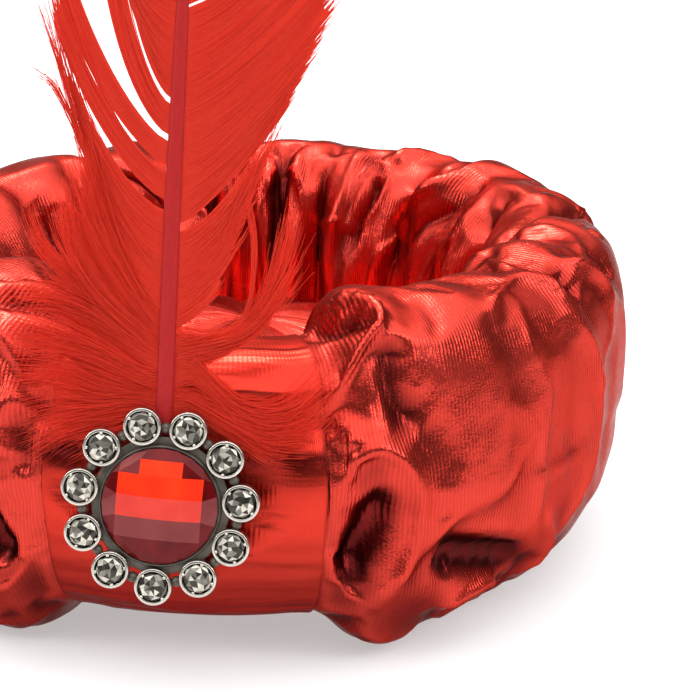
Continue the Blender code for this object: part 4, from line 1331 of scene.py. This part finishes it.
def brooch_setting(metal, recess_shade):
    """Boss, plate, bezel and cups, soldered together: the plate, the bezel, the cups' insides and the solder
    take painted shade, and the cups' rims are bright.
    """
    shape = bmesh.new()
    middle = (0, 0, 0)
    back, top = boss_height(), plate_front()
    inner = CENTRE_STONE_RADIUS + STONE_SPREAD + STONE_GAP
    bezel = CENTRE_STONE_RADIUS + STONE_GAP + BEZEL_WALL
    boss = [(POINT, POINT), (BOSS_RADIUS, POINT), (BOSS_RADIUS, back), (PLATE_RADIUS, back)]
    turned(shape, rounded(boss, CORNER), 64, middle, 0)
    # The plate and the bezel take painted shade
    edge = [(PLATE_RADIUS, back), (PLATE_RADIUS, top - BEVEL), (PLATE_RADIUS - BEVEL, top), (bezel, top)]
    turned(shape, edge, 96, middle, 1)
    lip = top + BEZEL_HEIGHT * 0.6
    rim = [(bezel, top), (bezel, lip - 0.0006), (inner + 0.0003, lip), (inner, top + 0.0012), (inner, top)]
    turned(shape, rounded(rim, CORNER), 96, middle, 1)
    turned(shape, [(inner, top), (POINT, top)], 64, middle, 1)
    low, high = cup_levels()
    well = RIM_STONE_RADIUS + STONE_GAP
    wall = well + CUP_WALL
    cup = [(POINT, low), (wall * 0.8, low), (wall, low + 0.001), (wall, high - 0.0006), (wall * 0.985, high)]
    cup += [(well, high + 0.0001), (well * 0.97, high - 0.0003)]
    # The cups' insides and the solder balls take painted shade
    hollow = [(well * 0.97, high - 0.0003), (well * 0.96, high - 0.0016), (POINT, high - 0.0020)]
    solder = ball(SOLDER_RADIUS, 0.03, SOLDER_RADIUS, 9)
    for k in range(RIM_STONES):
        place = ring_place(k, RIM_CIRCLE, 0)[0]
        turned(shape, rounded(cup, 0.0003), 40, place, 0)
        turned(shape, hollow, 32, place, 1)
        join = ring_place(k, RIM_CIRCLE * math.cos(math.pi / RIM_STONES), low + SOLDER_RADIUS, 1.0)[0]
        turned(shape, solder, 18, join, 1)
    finish_piece("brooch_metal", shape, [metal, recess_shade], "brooch_setting")


def prongs(metal):
    """Small grains of metal pressed over the edge of each rim stone."""
    shape = bmesh.new()
    high = cup_levels()[1]
    grain = ball(0.00055, 0.05, 0.00045, 7, 0.0001)
    for k in range(RIM_STONES):
        place, angle = ring_place(k, RIM_CIRCLE, high)
        for j in range(4):
            turn = angle + math.pi / 4 + j * math.pi / 2
            at = place + Vector((math.cos(turn), math.sin(turn), 0)) * (RIM_STONE_RADIUS * 0.98)
            turned(shape, grain, 12, at, 0)
    finish_piece("stone_prongs", shape, [metal], "brooch_setting")


def rim_stone_rows(draw):
    """Rings of a rim stone's corners from girdle to table, as (radius share, height, turn, corners)."""
    low = 0.5 * STONE_SEAT
    return (
        (0.985, 0.0, 0.0, 8),
        (1.0, low, 0.0, 8),
        (0.86, low + RIM_STONE_CROWN * 0.50, 0.5, 8),
        (0.56, low + RIM_STONE_CROWN * 0.92, draw.uniform(-0.1, 0.1), 8),
        (0.16, low + RIM_STONE_CROWN, 0.5, 4),
    )


def rim_stones(looks):
    """Each clear stone is cut glass over foil: its facets, picked at random, carry painted light, middle and
    dark reflections.
    """
    base = cup_levels()[1] - STONE_SEAT
    draw = np.random.default_rng(19)
    for k in range(RIM_STONES):
        shape = bmesh.new()
        place, angle = ring_place(k, RIM_CIRCLE, base)
        turn = Matrix.Translation(place) @ Matrix.Rotation(angle + draw.uniform(0, 1), 4, "Z")
        for share, height, half, corners in rim_stone_rows(draw):
            for j in range(corners):
                a = math.tau * (j + half) / corners
                r = share * RIM_STONE_RADIUS * 0.985
                shape.verts.new(turn @ Vector((r * math.cos(a), r * math.sin(a), height)))
        bmesh.ops.convex_hull(shape, input=shape.verts)
        bmesh.ops.dissolve_limit(shape, angle_limit=math.radians(0.5), verts=shape.verts, edges=shape.edges)
        bmesh.ops.recalc_face_normals(shape, faces=shape.faces)
        # Each facet takes a painted light, middle or dark reflection at random
        for face in shape.faces:
            face.material_index = int(draw.choice(3, p=STONE_REFLECTION_SHARES))
        finish_piece(f"clear_stone_{k + 1:02d}", shape, looks, f"rim_stone_{k + 1:02d}")


def centre_stone(looks):
    """The red stone, in square facets over foil, painted facet by facet: a block of them carries painted
    light, the row below it a middle red, the next row and a few side facets muted, and those round them
    painted shade.
    """
    radius, cell = CENTRE_STONE_RADIUS + STONE_SPREAD, CENTRE_STONE_CELL
    base = plate_front() + STONE_GAP
    girdle = base + STONE_SEAT
    droop = CENTRE_STONE_DOME * 0.82 / radius**2
    turn = Matrix.Rotation(BROOCH_TURN, 4, "Z")
    shape = bmesh.new()
    for i in range(-2, 3):
        for row in STONE_ROWS:
            x, y = i * cell, row * cell
            if math.hypot(x, y) < radius * 0.96:
                shape.verts.new(turn @ Vector((x, y, girdle + CENTRE_STONE_DOME - droop * (x * x + y * y))))
    sides = 24
    for k in range(sides):
        a = math.tau * k / sides
        shape.verts.new(turn @ Vector((radius * math.cos(a), radius * math.sin(a), girdle)))
        shape.verts.new(turn @ Vector((0.99 * radius * math.cos(a), 0.99 * radius * math.sin(a), base)))
    bmesh.ops.convex_hull(shape, input=shape.verts)
    bmesh.ops.dissolve_limit(shape, angle_limit=math.radians(0.5), verts=shape.verts, edges=shape.edges)
    bmesh.ops.recalc_face_normals(shape, faces=shape.faces)
    back = turn.inverted()
    # Each facet painted by where it lies: a bright block of painted light, middle and muted rows, painted
    # shade all round
    for face in shape.faces:
        middle = back @ face.calc_center_median()
        x, y = middle.x / cell, middle.y / cell
        inside = abs(x) < 2 and len(face.verts) == 4 and middle.z > girdle + 0.0006
        if inside and 0.5 < y < (1.5 if abs(x) > 1 else STONE_ROWS[-1]):
            face.material_index = 0
        elif inside and -0.5 < y < 0.5:
            face.material_index = 1
        elif (inside and -1.5 < y < -0.5) or (abs(x) > 2 and abs(y) < 0.5) or (x < -1 and y > 1.5):
            face.material_index = 2
        else:
            face.material_index = 3
    finish_piece("red_centre_stone", shape, looks, "centre_stone")


# The stage


def floor(look):
    shape = bmesh.new()
    bmesh.ops.create_grid(shape, x_segments=4, y_segments=4, size=FLOOR_HALF)
    mesh = bpy.data.meshes.new("pale_floor")
    shape.to_mesh(mesh)
    shape.free()
    made = new_object("pale_floor", mesh, look)
    made.location.z = -0.0003



def soft_box(name, place, size, power):
    """A soft lamp that points at the hat's middle."""
    lamp = bpy.data.lights.new(name, "AREA")
    lamp.shape = "RECTANGLE"
    lamp.size, lamp.size_y = size
    lamp.energy = power
    made = bpy.data.objects.new(name, lamp)
    made.location = place
    aim = Vector((0, 0, 0.06)) - Vector(place)
    made.rotation_euler = aim.to_track_quat("-Z", "Y").to_euler()
    bpy.context.scene.collection.objects.link(made)


def studio():
    world = bpy.data.worlds.new("studio")
    bpy.context.scene.world = world
    world.use_nodes = True
    nodes, links = world.node_tree.nodes, world.node_tree.links
    place = nodes.new("ShaderNodeTexCoord")
    split = nodes.new("ShaderNodeSeparateXYZ")
    links.new(place.outputs["Generated"], split.inputs[0])
    shares = []
    for axis, low, high, share in WORLD_LIGHT:
        ramp = nodes.new("ShaderNodeMapRange")
        ramp.interpolation_type = "SMOOTHSTEP"
        for number, value in enumerate((low, high, 0.0, share), 1):
            ramp.inputs[number].default_value = value
        links.new(split.outputs[axis], ramp.inputs[0])
        shares.append(ramp.outputs[0])
    total = nodes.new("ShaderNodeMath")
    total.operation = "ADD"
    links.new(shares[0], total.inputs[0])
    links.new(shares[1], total.inputs[1])
    base = nodes.new("ShaderNodeMath")
    base.operation = "ADD"
    links.new(total.outputs[0], base.inputs[0])
    base.inputs[1].default_value = WORLD_BASE
    links.new(base.outputs[0], nodes["Background"].inputs["Strength"])
    nodes["Background"].inputs["Color"].default_value = (1, 1, 1, 1)
    for lamp in LAMPS:
        soft_box(*lamp)


def camera():
    e, a, pan = (math.radians(x) for x in (CAMERA_ELEVATION, CAMERA_AZIMUTH, CAMERA_PAN))
    back = Vector((math.sin(a) * math.cos(e), -math.cos(a) * math.cos(e), math.sin(e)))
    ahead = -back
    right = ahead.cross(Vector((0, 0, 1))).normalized()
    up = right.cross(ahead)
    aim = ahead * math.cos(pan) + right * math.sin(pan)
    right = right * math.cos(pan) - ahead * math.sin(pan)
    data = bpy.data.cameras.new("photo_view")
    data.lens = CAMERA_LENS
    data.sensor_width = CAMERA_SENSOR
    data.clip_start, data.clip_end = 0.01, 50
    made = bpy.data.objects.new("photo_view", data)
    turn = Matrix((right, up, -aim)).transposed().to_4x4()
    place = Vector((0, ring_shift(), CAMERA_TARGET_HEIGHT)) + back * CAMERA_DISTANCE
    made.matrix_world = Matrix.Translation(place) @ turn
    bpy.context.scene.collection.objects.link(made)
    bpy.context.scene.camera = made


def main():
    camera()
    studio()
    floor(floor_look())
    foil = foil_look("foil_knit")
    padded_roll(foil)
    crown(foil)
    front_band(band_look())
    red = feather_look("dyed_barbs", (0.74, 0.054, 0.027, 1), (0.60, 0.026, 0.013, 1), 0.42)
    soft = feather_look("dyed_down", (0.76, 0.056, 0.027, 1), (0.62, 0.026, 0.013, 1), 0.45)
    vane("left_vane", -1, red, 71)
    vane("right_vane", 1, red, 72)
    down("down", soft, 73)
    quill(quill_look())
    metal, recess_shade = metal_look(), recess_shade_look()
    brooch_setting(metal, recess_shade)
    prongs(metal)
    rim_stones(clear_stone_looks())
    centre_stone(red_stone_looks())
    bpy.context.scene.view_settings.view_transform = "Standard"


main()
